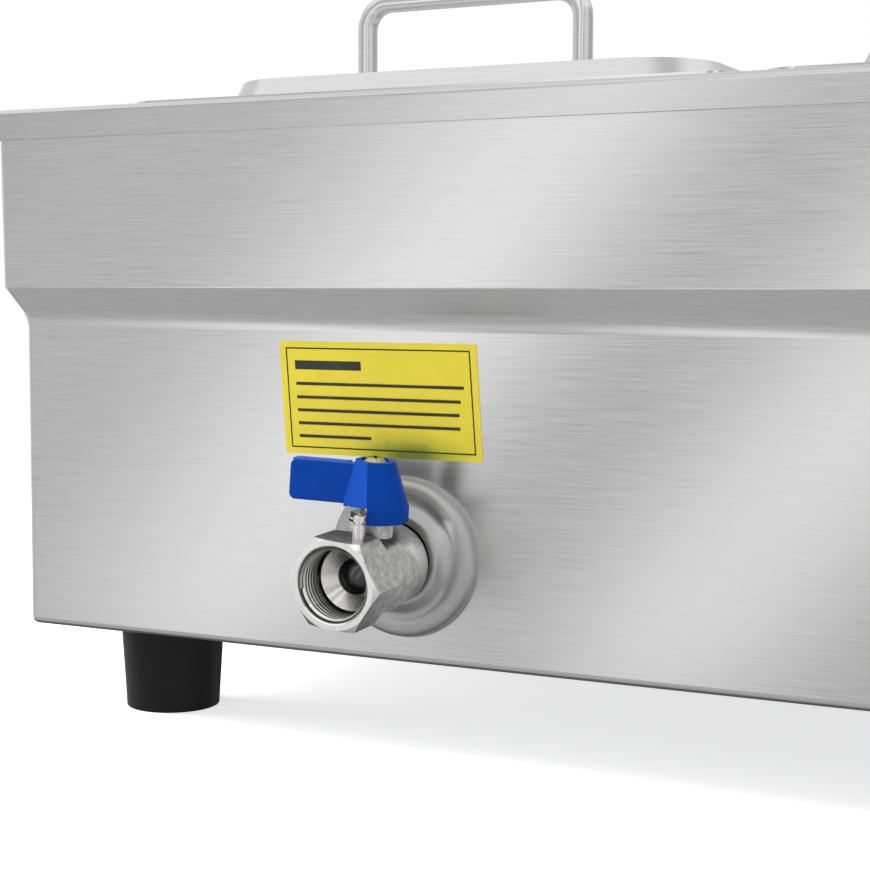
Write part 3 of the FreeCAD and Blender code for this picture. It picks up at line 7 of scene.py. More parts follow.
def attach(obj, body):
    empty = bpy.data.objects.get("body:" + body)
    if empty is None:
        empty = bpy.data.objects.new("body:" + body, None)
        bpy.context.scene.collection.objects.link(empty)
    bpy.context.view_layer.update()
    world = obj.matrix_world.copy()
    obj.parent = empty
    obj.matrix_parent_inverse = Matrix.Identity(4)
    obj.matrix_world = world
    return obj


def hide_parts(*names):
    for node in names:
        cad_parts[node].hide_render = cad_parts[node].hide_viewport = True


# Dresses the electric countertop bain-marie: finishes for every part, the threaded drain valve,
# its moulded lever, the yellow sticker, the dial's numbers and the switch's marks. Lengths are in
# metres, in the part's own frame: X along the front to the right, Y to the back, Z up.

mm = 0.001

# The drain valve's place, and how it sits on its pipe
valve_centre = (-119.8 * mm, -173.0 * mm, 77.4 * mm)
valve_turn = 5.6
valve_fall = 3.0

# The camera, found from the photograph's perspective
camera_place = (177.6 * mm, -750.0 * mm, 174.03 * mm)
camera_yaw = 26.3159
camera_pitch = 4.54559
camera_roll = 0.23655
camera_focal_pixels = 1775.196
picture_pixels = 870
film_width = 36.0

# The valve's thread, measured out of the casing along the drain and away from its axis
thread_inner_end = 44.0 * mm
thread_outer_end = 56.5 * mm
thread_pitch = 1.814 * mm
thread_valley = 13.22 * mm
thread_top = 11.9 * mm
thread_flank = 27.5

# The sticker: its lower left corner, and its two sides, which aren't quite square
sticker_corner = (-170.3 * mm, -173.205 * mm, 113.7 * mm)
sticker_across = (81.9 * mm, 0.0, 0.0)
sticker_upward = (-3.2 * mm, 0.0, 42.4 * mm)

# The thermostat dial and the rocker switch on the control plate
dial_centre = (233.0 * mm, -174.205 * mm, 100.5 * mm)
dial_angle = 30.0
knob_front = -197.205 * mm
on_mark_centre = (158.0 * mm, -176.88 * mm, 76.18 * mm)
off_mark_centre = (158.0 * mm, -175.465 * mm, 86.3 * mm)
rocker_lean = (0.0, 0.276, 0.961)

# Points of a mesh that lie nearer than this are one, and printing is this thick
joined_within = 0.002 * mm
ink_thickness = 0.01 * mm

# The sockets of a colour Mix node
mix_first, mix_second, mix_result = 6, 7, 2


def nothing_selected():
    if bpy.context.mode != "OBJECT":
        close()
    bpy.ops.object.select_all(action="DESELECT")


def pick(piece):
    nothing_selected()
    piece.select_set(True)
    bpy.context.view_layer.objects.active = piece


def open_all(piece):
    """Opens a piece in edit mode with all of it selected."""
    pick(piece)
    bpy.ops.object.mode_set(mode="EDIT")
    bpy.ops.mesh.select_all(action="SELECT")


def close():
    bpy.ops.object.mode_set(mode="OBJECT")


def just_made(name):
    piece = bpy.context.object
    piece.name = name
    piece.data.name = name
    return piece


def settle(piece, place=None):
    """Puts the piece's place into its mesh, so that its object sits at the origin."""
    pick(piece)
    if place is not None:
        piece.matrix_world = place @ piece.matrix_world
    bpy.ops.object.transform_apply(location=True, rotation=True, scale=True)
    return piece


def on_valve():
    """From a valve piece modelled upright, with z out of the mouth, to its place on the pipe."""
    fall = Matrix.Rotation(radians(valve_fall), 4, "X")
    turn = Matrix.Rotation(radians(valve_turn), 4, "Y")
    out = Matrix.Rotation(radians(90.0), 4, "X")
    return Matrix.Translation(valve_centre) @ fall @ turn @ out


def copy_of(node, name):
    """A copy of a part's mesh, with its loose triangles joined up."""
    nothing_selected()
    piece = frame["nodes"][node].copy()
    piece.data = piece.data.copy()
    piece.name = name
    piece.data.name = name
    bpy.context.collection.objects.link(piece)
    piece.parent = None
    pick(piece)
    if piece.data.has_custom_normals:
        bpy.ops.mesh.customdata_custom_splitnormals_clear()
    open_all(piece)
    bpy.ops.mesh.remove_doubles(threshold=joined_within)
    close()
    return piece


def use_modifier(piece, kind, **values):
    pick(piece)
    bpy.ops.object.modifier_add(type=kind)
    modifier = piece.modifiers[-1]
    for key, value in values.items():
        setattr(modifier, key, value)
    bpy.ops.object.modifier_apply(modifier=modifier.name)


def smooth(piece, angle):
    pick(piece)
    bpy.ops.object.shade_smooth_by_angle(angle=radians(angle))


def finished(piece, finish, body):
    piece.data.materials.clear()
    piece.data.materials.append(finish)
    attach(piece, body)


# Finishes

def start_finish(name, metallic, specular=0.5):
    finish = bpy.data.materials.new(name)
    finish.use_nodes = True
    nodes = finish.node_tree.nodes
    shader = nodes["Principled BSDF"]
    shader.inputs["Metallic"].default_value = metallic
    shader.inputs["Specular IOR Level"].default_value = specular
    return finish, nodes, finish.node_tree.links, shader


def laid_on(nodes, links, size, centre=(0.0, 0.0, 0.0), turn=(0.0, 0.0, 0.0)):
    """Object coordinates from a centre, turned, and counted in steps of the given size."""
    source = nodes.new("ShaderNodeTexCoord")
    mapping = nodes.new("ShaderNodeMapping")
    mapping.vector_type = "TEXTURE"
    mapping.inputs["Location"].default_value = centre
    mapping.inputs["Rotation"].default_value = turn
    mapping.inputs["Scale"].default_value = size
    links.new(source.outputs["Object"], mapping.inputs["Vector"])
    return mapping.outputs["Vector"]


def cloudy(nodes, links, where, detail=2.0, roughness=0.5, twist=0.0):
    noise = nodes.new("ShaderNodeTexNoise")
    noise.inputs["Scale"].default_value = 1.0
    noise.inputs["Detail"].default_value = detail
    noise.inputs["Roughness"].default_value = roughness
    noise.inputs["Distortion"].default_value = twist
    links.new(where, noise.inputs["Vector"])
    return noise.outputs["Fac"]


def grains(nodes, links, where):
    cells = nodes.new("ShaderNodeTexVoronoi")
    cells.inputs["Scale"].default_value = 1.0
    links.new(where, cells.inputs["Vector"])
    return cells


def feed(links, socket, value):
    """Gives a socket a number, a colour or what another node makes."""
    if isinstance(value, (int, float)):
        socket.default_value = value
    elif isinstance(value, (tuple, list)):
        socket.default_value = (*value, 1.0)
    else:
        links.new(value, socket)


def reckon(nodes, links, how, first, second):
    sum_node = nodes.new("ShaderNodeMath")
    sum_node.operation = how
    for socket, value in zip(sum_node.inputs, (first, second)):
        feed(links, socket, value)
    return sum_node.outputs["Value"]


def both_of(nodes, links, first, share, second):
    """Two patterns in one: the first by its share, the second by the rest."""
    return reckon(nodes, links, "ADD", reckon(nodes, links, "MULTIPLY", first, share),
                  reckon(nodes, links, "MULTIPLY", second, 1.0 - share))


def blended(nodes, links, factor, first, second, how="MIX"):
    mix = nodes.new("ShaderNodeMix")
    mix.data_type = "RGBA"
    mix.blend_type = how
    feed(links, mix.inputs["Factor"], factor)
    feed(links, mix.inputs[mix_first], first)
    feed(links, mix.inputs[mix_second], second)
    return mix.outputs[mix_result]


def even(size):
    return (size, size, size)


def spread(nodes, links, value, low, high, start=0.3, end=0.7):
    span = nodes.new("ShaderNodeMapRange")
    span.inputs["From Min"].default_value = start
    span.inputs["From Max"].default_value = end
    span.inputs["To Min"].default_value = low
    span.inputs["To Max"].default_value = high
    links.new(value, span.inputs["Value"])
    return span.outputs["Result"]


def shades(nodes, links, value, stops):
    ramp = nodes.new("ShaderNodeValToRGB")
    band = ramp.color_ramp.elements
    while len(band) < len(stops):
        band.new(0.5)
    for stop, (place, colour) in zip(band, stops):
        stop.position = place
    for stop, (place, colour) in zip(band, stops):
        stop.color = (*colour, 1.0)
    links.new(value, ramp.inputs["Fac"])
    return ramp.outputs["Color"]


def raised(nodes, links, shader, height, distance, strength=1.0):
    bump = nodes.new("ShaderNodeBump")
    bump.inputs["Strength"].default_value = strength
    bump.inputs["Distance"].default_value = distance
    links.new(height, bump.inputs["Height"])
    links.new(bump.outputs["Normal"], shader.inputs["Normal"])


def painted_hollow_shade(nodes, links, colour, darkest, closed=0.2, open_sky=0.75, unshaded=1.0):
    """Paints shade into a colour: darker in hollows and corners, by how closed in each point is,
    and darker again where the unshaded share is below 1."""
    hollow = nodes.new("ShaderNodeAmbientOcclusion")
    hollow.samples = 6
    hollow.inputs["Distance"].default_value = 20 * mm
    shade = spread(nodes, links, hollow.outputs["AO"], darkest, 1.0, closed, open_sky)
    shade = reckon(nodes, links, "MULTIPLY", shade, unshaded)
    return blended(nodes, links, 1.0, colour, shade, "MULTIPLY")


def grey(value, warm=0.0):
    return (value * (1.0 + warm), value, value * (1.0 - warm))


def grain_direction(nodes, links, shader, across):
    """Turns the gloss so that it blurs most across the grain."""
    way = nodes.new("ShaderNodeCombineXYZ")
    for k, value in enumerate(across):
        way.inputs[k].default_value = value
    turned = nodes.new("ShaderNodeVectorTransform")
    turned.vector_type = "VECTOR"
    turned.convert_from = "OBJECT"
    turned.convert_to = "WORLD"
    links.new(way.outputs["Vector"], turned.inputs["Vector"])
    links.new(turned.outputs["Vector"], shader.inputs["Tangent"])


def brushed_sheet(name, tone, rough, grain, across):
    """Sheet steel with its grain along one direction: grain is the size of one streak."""
    contrast = 0.06
    finish, nodes, links, shader = start_finish(name, 1.0)
    fine = cloudy(nodes, links, laid_on(nodes, links, grain), 2.0, 0.6)
    longer = cloudy(nodes, links, laid_on(nodes, links, [5.0 * g for g in grain]), 2.0)
    soft = cloudy(nodes, links, laid_on(nodes, links, (0.16, 0.16, 0.12)), 1.0)
    streaks = both_of(nodes, links, fine, 0.85, longer)
    dark = grey(tone * (1.0 - contrast), 0.003)
    light = grey(tone * (1.0 + contrast), -0.002)
    colour = shades(nodes, links, streaks, [(0.34, dark), (0.5, grey(tone)), (0.66, light)])
    links.new(colour, shader.inputs["Base Color"])
    wear = reckon(nodes, links, "ADD", streaks, reckon(nodes, links, "MULTIPLY", soft, 0.5))
    links.new(spread(nodes, links, wear, rough * 0.93, rough * 1.07, 0.6, 0.9),
              shader.inputs["Roughness"])
    shader.inputs["Anisotropic"].default_value = 0.2
    grain_direction(nodes, links, shader, across)
    raised(nodes, links, shader, streaks, 0.001 * mm, 0.5)
    return finish


def satin_metal(name, colour, rough, size, depth, stain_and_shadow=0.12, darkest=1.0):
    """Plain metal with fine tool marks and a little staining."""
    finish, nodes, links, shader = start_finish(name, 1.0)
    marks = cloudy(nodes, links, laid_on(nodes, links, size), 3.0, 0.6)
    stains = cloudy(nodes, links, laid_on(nodes, links, [12.0 * s for s in size]), 3.0, 0.6)
    both = both_of(nodes, links, marks, 0.5, stains)
    dull = [c * (1.0 - stain_and_shadow) for c in colour]
    bright = [min(1.0, c * (1.0 + stain_and_shadow)) for c in colour]
    tone = shades(nodes, links, both, [(0.35, dull), (0.65, bright)])
    # Painted shade: darker in hollows and recesses, down to darkest.
    if darkest < 1.0:
        tone = painted_hollow_shade(nodes, links, tone, darkest, 0.08, 0.42)
    links.new(tone, shader.inputs["Base Color"])
    links.new(spread(nodes, links, both, rough * 0.8, rough * 1.25), shader.inputs["Roughness"])
    raised(nodes, links, shader, marks, depth)
    return finish


def moulded(name, colour, rough, grain=0.35 * mm, depth=0.01 * mm, dust=0.06, specular=0.5):
    """Moulded plastic or rubber: fine texture, faint flow marks, and a lighter bloom."""
    finish, nodes, links, shader = start_finish(name, 0.0, specular)
    fine = cloudy(nodes, links, laid_on(nodes, links, even(grain)), 2.0, 0.6)
    flow = cloudy(nodes, links, laid_on(nodes, links, even(9 * mm)), 3.0, 0.55, 0.6)
    bloom = both_of(nodes, links, flow, 0.75, fine)
    pale = [c + (0.5 - c) * dust for c in colour]
    deep = [c * 0.9 for c in colour]
    links.new(shades(nodes, links, bloom, [(0.34, deep), (0.5, colour), (0.7, pale)]),
              shader.inputs["Base Color"])
    links.new(spread(nodes, links, bloom, rough * 0.85, rough * 1.2), shader.inputs["Roughness"])
    raised(nodes, links, shader, fine, depth)
    return finish


def make_finishes():
    along_front = (22 * mm, 22 * mm, 0.3 * mm)
    along_top = (22 * mm, 0.3 * mm, 0.3 * mm)
    up = (0.1, 0.1, 1.0)
    back = (0.02, 1.0, 0.1)
    turned = (0.2 * mm, 0.2 * mm, 2 * mm)
    polished = (0.2 * mm, 2 * mm, 2 * mm)
    fine = 0.01 * mm
    faint = 0.002 * mm
    rows = [
        (brushed_sheet, "casing_steel", 0.71, 0.24, along_front, up),
        (brushed_sheet, "deck_steel", 0.70, 0.27, along_top, back),
        (brushed_sheet, "plate_steel", 0.62, 0.26, along_front, up),
        (brushed_sheet, "pan_steel", 0.74, 0.20, along_top, back),
        (brushed_sheet, "lid_steel", 0.74, 0.20, along_top, back),
        (spangled, "galvanised_sheet"),
        (spun_rosette, "escutcheon_steel"),
        (cast_valve, "cast_steel"),
        # The last number of machined_steel and brass_plain is how dark their painted shade in
        # hollows gets.
        (satin_metal, "machined_steel", (0.84, 0.83, 0.81), 0.20, turned, fine, 0.08, 0.1),
        (satin_metal, "fastener_steel", (0.70, 0.70, 0.68), 0.22, even(0.4 * mm), fine),
        (satin_metal, "element_sheath", (0.42, 0.40, 0.37), 0.34, even(1.2 * mm), fine, 0.25),
        (satin_metal, "brass_plain", (0.56, 0.50, 0.30), 0.24, even(0.4 * mm), fine, 0.12, 0.25),
        # Near black: painted shade for the ball deep inside the valve's bore.
        (satin_metal, "ball_chrome", (0.08, 0.08, 0.08), 0.16, polished, fine, 0.3),
        (satin_metal, "copper_plain", (0.72, 0.36, 0.22), 0.28, even(0.6 * mm), fine, 0.2),
        (moulded, "lever_blue", (0.002, 0.054, 0.36), 0.34, 0.4 * mm, faint, 0.002, 0.05),
        # A lighter blue than the lever: painted highlight along the lever's upper edge.
        (moulded, "grip_blue", (0.03, 0.16, 0.66), 0.36, 0.4 * mm, faint, 0.01, 0.2),
        (moulded, "foot_rubber", (0.006, 0.006, 0.006), 0.45, 0.3 * mm, 0.02 * mm, 0.01, 0.25),
        (moulded, "silicone_red", (0.42, 0.03, 0.015), 0.5),
        (moulded, "seat_polymer", (0.80, 0.80, 0.77), 0.4),
        (moulded, "black_plastic", (0.03, 0.03, 0.03), 0.45),
        (moulded, "knob_black", (0.022, 0.022, 0.023), 0.28, 0.3 * mm, 0.006 * mm, 0.02),
        (moulded, "rocker_red", (0.50, 0.022, 0.014), 0.25),
        (lamp_lens, "lens_green", (0.02, 0.34, 0.06)),
        (lamp_lens, "lens_amber", (0.75, 0.26, 0.015)),
        (moulded, "ceramic_cream", (0.76, 0.71, 0.60), 0.5, 0.8 * mm, 0.03 * mm),
        (yellow_film, "label_yellow"),
        (ink, "ink_white", (0.82, 0.82, 0.80)),
    ]
    return {name: maker(name, *values) for maker, name, *values in rows}


def spangled(name):
    """Hot-dip zinc, with its crystals a few millimetres across."""
    finish, nodes, links, shader = start_finish(name, 1.0)
    cells = grains(nodes, links, laid_on(nodes, links, even(7 * mm)))
    blur = cloudy(nodes, links, laid_on(nodes, links, even(1.4 * mm)), 3.0)
    separate = nodes.new("ShaderNodeSeparateColor")
    links.new(cells.outputs["Color"], separate.inputs["Color"])
    tone = both_of(nodes, links, separate.outputs["Red"], 0.6, blur)
    links.new(shades(nodes, links, tone, [(0.1, (0.46, 0.48, 0.49)), (0.9, (0.66, 0.68, 0.69))]),
              shader.inputs["Base Color"])
    links.new(spread(nodes, links, tone, 0.3, 0.5, 0.0, 1.0), shader.inputs["Roughness"])
    raised(nodes, links, shader, tone, 0.01 * mm)
    return finish


def from_valve(nodes, links):
    """A point's distance out of the casing along the drain, and its distance from the drain."""
    turn = (radians(valve_fall), radians(valve_turn), 0.0)
    apart = nodes.new("ShaderNodeSeparateXYZ")
    links.new(laid_on(nodes, links, even(1.0), valve_centre, turn), apart.inputs["Vector"])
    out = reckon(nodes, links, "MULTIPLY", apart.outputs["Y"], -1.0)
    squares = [reckon(nodes, links, "POWER", apart.outputs[k], 2.0) for k in ("X", "Z")]
    away = reckon(nodes, links, "SQRT", reckon(nodes, links, "ADD", *squares), 0.0)
    return out, away


def mouth_faces(nodes, links, out):
    """1 on the turned faces round the valve's mouth, 0 elsewhere."""
    source = nodes.new("ShaderNodeTexCoord")
    facing = nodes.new("ShaderNodeVectorMath")
    facing.operation = "DOT_PRODUCT"
    fall = radians(valve_fall)
    facing.inputs[1].default_value = (0.0, -cos(fall), -sin(fall))
    links.new(source.outputs["Normal"], facing.inputs[0])
    ahead = spread(nodes, links, facing.outputs["Value"], 0.0, 1.0, 0.30, 0.40)
    near_end = spread(nodes, links, out, 0.0, 1.0, 52.0 * mm, 52.5 * mm)
    return reckon(nodes, links, "MULTIPLY", ahead, near_end)


def cast_valve(name):
    """Tumbled casting, dull and pitted, with its mouth and thread turned bright, and painted
    shade in its hollows, in its thread roots and deep in its mouth.
    """
    finish, nodes, links, shader = start_finish(name, 1.0)
    out, away = from_valve(nodes, links)
    mouth = mouth_faces(nodes, links, out)
    thread = spread(nodes, links, away, 1.0, 0.0, 13.3 * mm, 13.5 * mm)
    turned = reckon(nodes, links, "MAXIMUM", mouth, thread)
    pits = cloudy(nodes, links, laid_on(nodes, links, even(0.7 * mm)), 3.0, 0.6)
    clouds = cloudy(nodes, links, laid_on(nodes, links, even(3 * mm)), 3.0, 0.6)
    both = both_of(nodes, links, pits, 0.4, clouds)
    dull = shades(nodes, links, both, [(0.40, (0.58, 0.58, 0.575)), (0.60, (0.92, 0.92, 0.91))])
    bright = shades(nodes, links, both, [(0.36, (0.92, 0.92, 0.91)), (0.64, (0.98, 0.98, 0.97))])
    metal = blended(nodes, links, turned, dull, bright)
    # Painted shade: darker in the thread's roots and deeper into the mouth.
    deep = spread(nodes, links, away, 0.0, 0.85, thread_top + 0.3 * mm, thread_top + 1.0 * mm)
    inside = spread(nodes, links, out, 0.0, 1.0, thread_inner_end, thread_inner_end + 0.5 * mm)
    far_in = spread(nodes, links, out, 0.75, 0.0, thread_inner_end + 1.5 * mm,
                    thread_inner_end + 7.0 * mm)
    painted_thread_shade = reckon(nodes, links, "MULTIPLY", reckon(nodes, links, "MULTIPLY", thread, inside),
                  reckon(nodes, links, "MAXIMUM", deep, far_in))
    unshaded = reckon(nodes, links, "SUBTRACT", 1.0, painted_thread_shade)
    # Painted shade in the hollows and in the thread's roots.
    links.new(painted_hollow_shade(nodes, links, metal, 0.2, unshaded=unshaded), shader.inputs["Base Color"])
    rough = spread(nodes, links, both, 0.30, 0.40)
    smoother = reckon(nodes, links, "MULTIPLY", turned, -0.16)
    links.new(reckon(nodes, links, "ADD", rough, smoother), shader.inputs["Roughness"])
    raised(nodes, links, shader, both, 0.08 * mm, 0.6)
    return finish


def spun_rosette(name):
    """Satin steel with very fine rings round the drain pipe."""
    finish, nodes, links, shader = start_finish(name, 1.0)
    away = from_valve(nodes, links)[1]
    across = nodes.new("ShaderNodeCombineXYZ")
    links.new(reckon(nodes, links, "DIVIDE", away, 0.25 * mm), across.inputs[0])
    rings = cloudy(nodes, links, across.outputs["Vector"], 2.0)
    marks = cloudy(nodes, links, laid_on(nodes, links, even(2 * mm)), 3.0)
    both = both_of(nodes, links, rings, 0.5, marks)
    links.new(shades(nodes, links, both, [(0.3, grey(0.52)), (0.7, grey(0.57))]),
              shader.inputs["Base Color"])
    links.new(spread(nodes, links, both, 0.42, 0.47), shader.inputs["Roughness"])
    raised(nodes, links, shader, both, 0.002 * mm, 0.5)
    return finish


def lamp_lens(name, colour):
    """Coloured lens, with the fine ribs that spread its light."""
    finish, nodes, links, shader = start_finish(name, 0.0)
    ribs = nodes.new("ShaderNodeTexWave")
    ribs.bands_direction = "X"
    ribs.inputs["Scale"].default_value = 260.0
    links.new(laid_on(nodes, links, even(1.0)), ribs.inputs["Vector"])
    glow = cloudy(nodes, links, laid_on(nodes, links, even(3 * mm)), 2.0)
    both = both_of(nodes, links, ribs.outputs["Fac"], 0.5, glow)
    deep = [0.55 * c for c in colour]
    pale = [min(1.0, 1.3 * c) for c in colour]
    links.new(shades(nodes, links, both, [(0.2, deep), (0.8, pale)]), shader.inputs["Base Color"])
    links.new(spread(nodes, links, both, 0.08, 0.16, 0.2, 0.8), shader.inputs["Roughness"])
    shader.inputs["Coat Weight"].default_value = 0.6
    raised(nodes, links, shader, ribs.outputs["Fac"], 0.05 * mm, 0.4)
    return finish


def yellow_film(name):
    """Printed yellow film with a painted shadow of the lever on it, greenish to olive, low down
    in its right half.
    """
    finish, nodes, links, shader = start_finish(name, 0.0, 0.3)
    # Painted shadow of the lever: a soft patch that goes from yellow through greenish to olive.
    stain_and_shadow = nodes.new("ShaderNodeTexGradient")
    stain_and_shadow.gradient_type = "SPHERICAL"
    links.new(laid_on(nodes, links, (27 * mm, 30 * mm, 9 * mm), (-0.118, -0.173, 0.115)),
              stain_and_shadow.inputs["Vector"])
    fibre = cloudy(nodes, links, laid_on(nodes, links, even(0.6 * mm)), 3.0)
    cloud = cloudy(nodes, links, laid_on(nodes, links, (9 * mm, 9 * mm, 7 * mm)), 2.0)
    shade = stain_and_shadow.outputs["Fac"]
    for pattern, weight in ((cloud, 0.35), (fibre, 0.10)):
        middled = reckon(nodes, links, "SUBTRACT", pattern, 0.5)
        shade = reckon(nodes, links, "ADD", shade,
                       reckon(nodes, links, "MULTIPLY", middled, weight))
    yellow = (0.77, 0.64, 0.045)
    half_shadow_green = (0.55, 0.52, 0.04)
    shadow_olive = (0.17, 0.20, 0.018)
    links.new(shades(nodes, links, shade, [(0.0, yellow), (0.35, half_shadow_green), (0.8, shadow_olive)]),
              shader.inputs["Base Color"])
    links.new(spread(nodes, links, fibre, 0.32, 0.42), shader.inputs["Roughness"])
    raised(nodes, links, shader, fibre, 0.004 * mm)
    return finish


def ink(name, colour):
    """Printing ink: slightly uneven cover."""
    return moulded(name, colour, 0.45, 0.25 * mm, 0.002 * mm, 0.05)


# The stage

def light_stage():
    nothing_selected()
    world = bpy.data.worlds.new("studio_light")
    bpy.context.scene.world = world
    world.use_nodes = True
    nodes = world.node_tree.nodes
    links = world.node_tree.links
    background = nodes["Background"]
    level = blended(nodes, links, straight_rays(nodes, links), grey(0.44), grey(1.0))
    links.new(level, background.inputs["Color"])
    background.inputs["Strength"].default_value = 1.0
    soft_light("soft_light_left", (-1.45, -0.35, 0.60), 0.8, 26.0)
    soft_light("soft_light_top", (0.1, -0.45, 1.5), 1.0, 13.0)


def straight_rays(nodes, links):
    """1 for what the camera, a gloss or a clear part shows straight, 0 for what only lights."""
    path = nodes.new("ShaderNodeLightPath")
    seen = reckon(nodes, links, "MAXIMUM", path.outputs["Is Camera Ray"],
                  path.outputs["Is Glossy Ray"])
    return reckon(nodes, links, "MAXIMUM", seen, path.outputs["Is Transmission Ray"])


def soft_light(name, place, size, power):
    nothing_selected()
    bpy.ops.object.light_add(type="AREA", location=place)
    lamp = bpy.context.object
    lamp.name = name
    lamp.data.size = size
    lamp.data.energy = power
    aim = Vector((-0.1, -0.15, 0.1)) - lamp.location
    lamp.rotation_euler = aim.to_track_quat("-Z", "Y").to_euler()
    lamp.visible_glossy = False


def floor():
    nothing_selected()
    bpy.ops.mesh.primitive_plane_add(size=14.0, location=(0.0, 0.0, 0.0))
    sheet = just_made("studio_floor")
    sheet.visible_glossy = False
    finish, nodes, links, shader = start_finish("floor_white", 0.0)
    cloud = cloudy(nodes, links, laid_on(nodes, links, (0.6, 0.6, 0.6)), 1.0)
    links.new(shades(nodes, links, cloud, [(0.3, grey(0.90)), (0.7, grey(0.92))]),
              shader.inputs["Base Color"])
    shader.inputs["Roughness"].default_value = 0.9
    shader.inputs["Emission Color"].default_value = (1.0, 1.0, 1.0, 1.0)
    glow = reckon(nodes, links, "MULTIPLY", straight_rays(nodes, links), 0.68)
    links.new(glow, shader.inputs["Emission Strength"])
    sheet.data.materials.append(finish)


def card(name, corners, level):
    """A card that only shows in the steel, of one even tone."""
    nothing_selected()
    bpy.ops.mesh.primitive_plane_add(size=1.0)
    sheet = just_made(name)
    for corner, place in zip(sheet.data.vertices, corners):
        corner.co = place
    finish = bpy.data.materials.new(name)
    finish.use_nodes = True
    nodes = finish.node_tree.nodes
    links = finish.node_tree.links
    nodes.clear()
    shine = nodes.new("ShaderNodeEmission")
    shine.inputs["Color"].default_value = (1.0, 1.0, 1.0, 1.0)
    shine.inputs["Strength"].default_value = level
    result = nodes.new("ShaderNodeOutputMaterial")
    links.new(shine.outputs["Emission"], result.inputs["Surface"])
    sheet.data.materials.append(finish)
    sheet.visible_camera = False
    sheet.visible_diffuse = False
    sheet.visible_shadow = False
    sheet.visible_transmission = False
    sheet.visible_volume_scatter = False
    return nodes, links, shine


def banded_card(name, corners, bands, slope, low_level):
    """A card that changes tone in long soft bands, which lean by the slope. Its lower part
    fades into one tone."""
    nodes, links, shine = card(name, corners, 1.0)
    source = nodes.new("ShaderNodeTexCoord")
    apart = nodes.new("ShaderNodeSeparateXYZ")
    links.new(source.outputs["Object"], apart.inputs["Vector"])
    across = reckon(nodes, links, "MULTIPLY", apart.outputs["X"], cos(radians(slope)))
    down = reckon(nodes, links, "MULTIPLY", apart.outputs["Z"], sin(radians(slope)))
    low = bands[0][0]
    high = bands[-1][0]
    along = spread(nodes, links, reckon(nodes, links, "ADD", across, down), 0.0, 1.0, low, high)
    highest = max(v for p, v in bands)
    stops = [((p - low) / (high - low), grey(v / highest)) for p, v in bands]
    above = spread(nodes, links, apart.outputs["Z"], 0.0, 1.0, -0.21, -0.13)
    tone = blended(nodes, links, above, grey(low_level / highest),
                   shades(nodes, links, along, stops))
    links.new(tone, shine.inputs["Color"])
    shine.inputs["Strength"].default_value = highest


def faded_card(name, corners, axis, start, end, level, last_level):
    """A card whose tone goes from one level to another along an axis."""
    nodes, links, shine = card(name, corners, 1.0)
    source = nodes.new("ShaderNodeTexCoord")
    apart = nodes.new("ShaderNodeSeparateXYZ")
    links.new(source.outputs["Object"], apart.inputs["Vector"])
    links.new(spread(nodes, links, apart.outputs[axis], level, last_level, start, end),
              shine.inputs["Strength"])


def wall(y, left, right, low, high):
    """The corners of an upright card that faces the front and the back."""
    return [(left, y, low), (right, y, low), (left, y, high), (right, y, high)]


def side_wall(x, front, back, low, high):
    """The corners of an upright card that faces the left and the right."""
    return [(x, front, low), (x, back, low), (x, front, high), (x, back, high)]


def flat_sheet(z, left, right, front, back):
    """The corners of a card that faces up and down."""
    return [(left, front, z), (right, front, z), (left, back, z), (right, back, z)]


def by_valve(corners):
    """Corners that count in millimetres from the drain valve, in their place on it."""
    return [on_valve() @ (Vector(corner) * mm) for corner in corners]


def cards():
    """What the steel mirrors: a banded card in front, plain grey ones round about, and small
    ones by the drain valve."""
    front, behind = -0.90, 1.3
    left, right, far_right = -1.6, 0.95, 1.3
    under, horizon, ceiling = -0.60, 0.05, 2.0
    bands = [(-1.3, 0.50), (-1.0, 0.50), (-0.92, 0.52), (-0.86, 0.57), (-0.80, 0.70),
             (-0.74, 0.65), (-0.68, 0.50), (-0.62, 0.65), (-0.56, 0.88), (-0.50, 1.16),
             (-0.46, 1.47), (-0.42, 1.36), (-0.38, 0.80), (-0.34, 0.44), (-0.30, 0.42),
             (-0.26, 0.46), (-0.22, 0.68), (-0.18, 1.16), (-0.14, 1.48), (-0.10, 1.12),
             (-0.05, 0.52), (0.0, 0.44), (0.08, 0.54), (0.2, 0.84), (0.4, 0.75)]
    banded_card("front_card", wall(front, left, right, under, 0.9), bands, -40.0, 0.50)
    faded_card("back_card", wall(behind, left, far_right, horizon, ceiling),
               "Z", 0.2, 1.5, 0.50, 0.86)
    faded_card("top_card", flat_sheet(ceiling, left, far_right, front, behind),
               "X", -0.8, 0.8, 0.86, 0.60)
    faded_card("low_card", flat_sheet(under, left, right, front, 1.6),
               "Y", -0.50, -0.22, 0.50, 0.12)
    faded_card("right_card", side_wall(right, front, 1.0, under, 0.8),
               "Y", -0.3, 0.15, 0.80, 0.45)
    card("foot_card", wall(behind - 0.01, -0.95, -0.1, under, -0.12), 0.05)
    card("left_card", side_wall(left, front, 1.0, under, 1.2), 0.75)
    card("back_low_card", wall(behind, left, far_right, under, horizon), 0.46)
    faded_card("rim_card", wall(front + 0.005, -0.56, -0.46, -0.18, -0.08),
               "X", -0.55, -0.48, 0.5, 1.25)
    # By the valve: lever_card and skirt_card are dark sheets that paint the lever's reflection,
    # as the lever itself is hidden from gloss, and barrel_card paints a highlight on the barrel
    # and the rosette.
    card("lever_card", by_valve(flat_sheet(28.7, -34, -7, 22.5, 36)), 0.12)
    card("skirt_card", by_valve(wall(19.5, -27, 15, 43, 13)), 0.05)
    faded_card("barrel_card", wall(-0.181, -0.1035, -0.099, 0.066, 0.092),
               "Z", 0.074, 0.090, 0.4, 1.0)


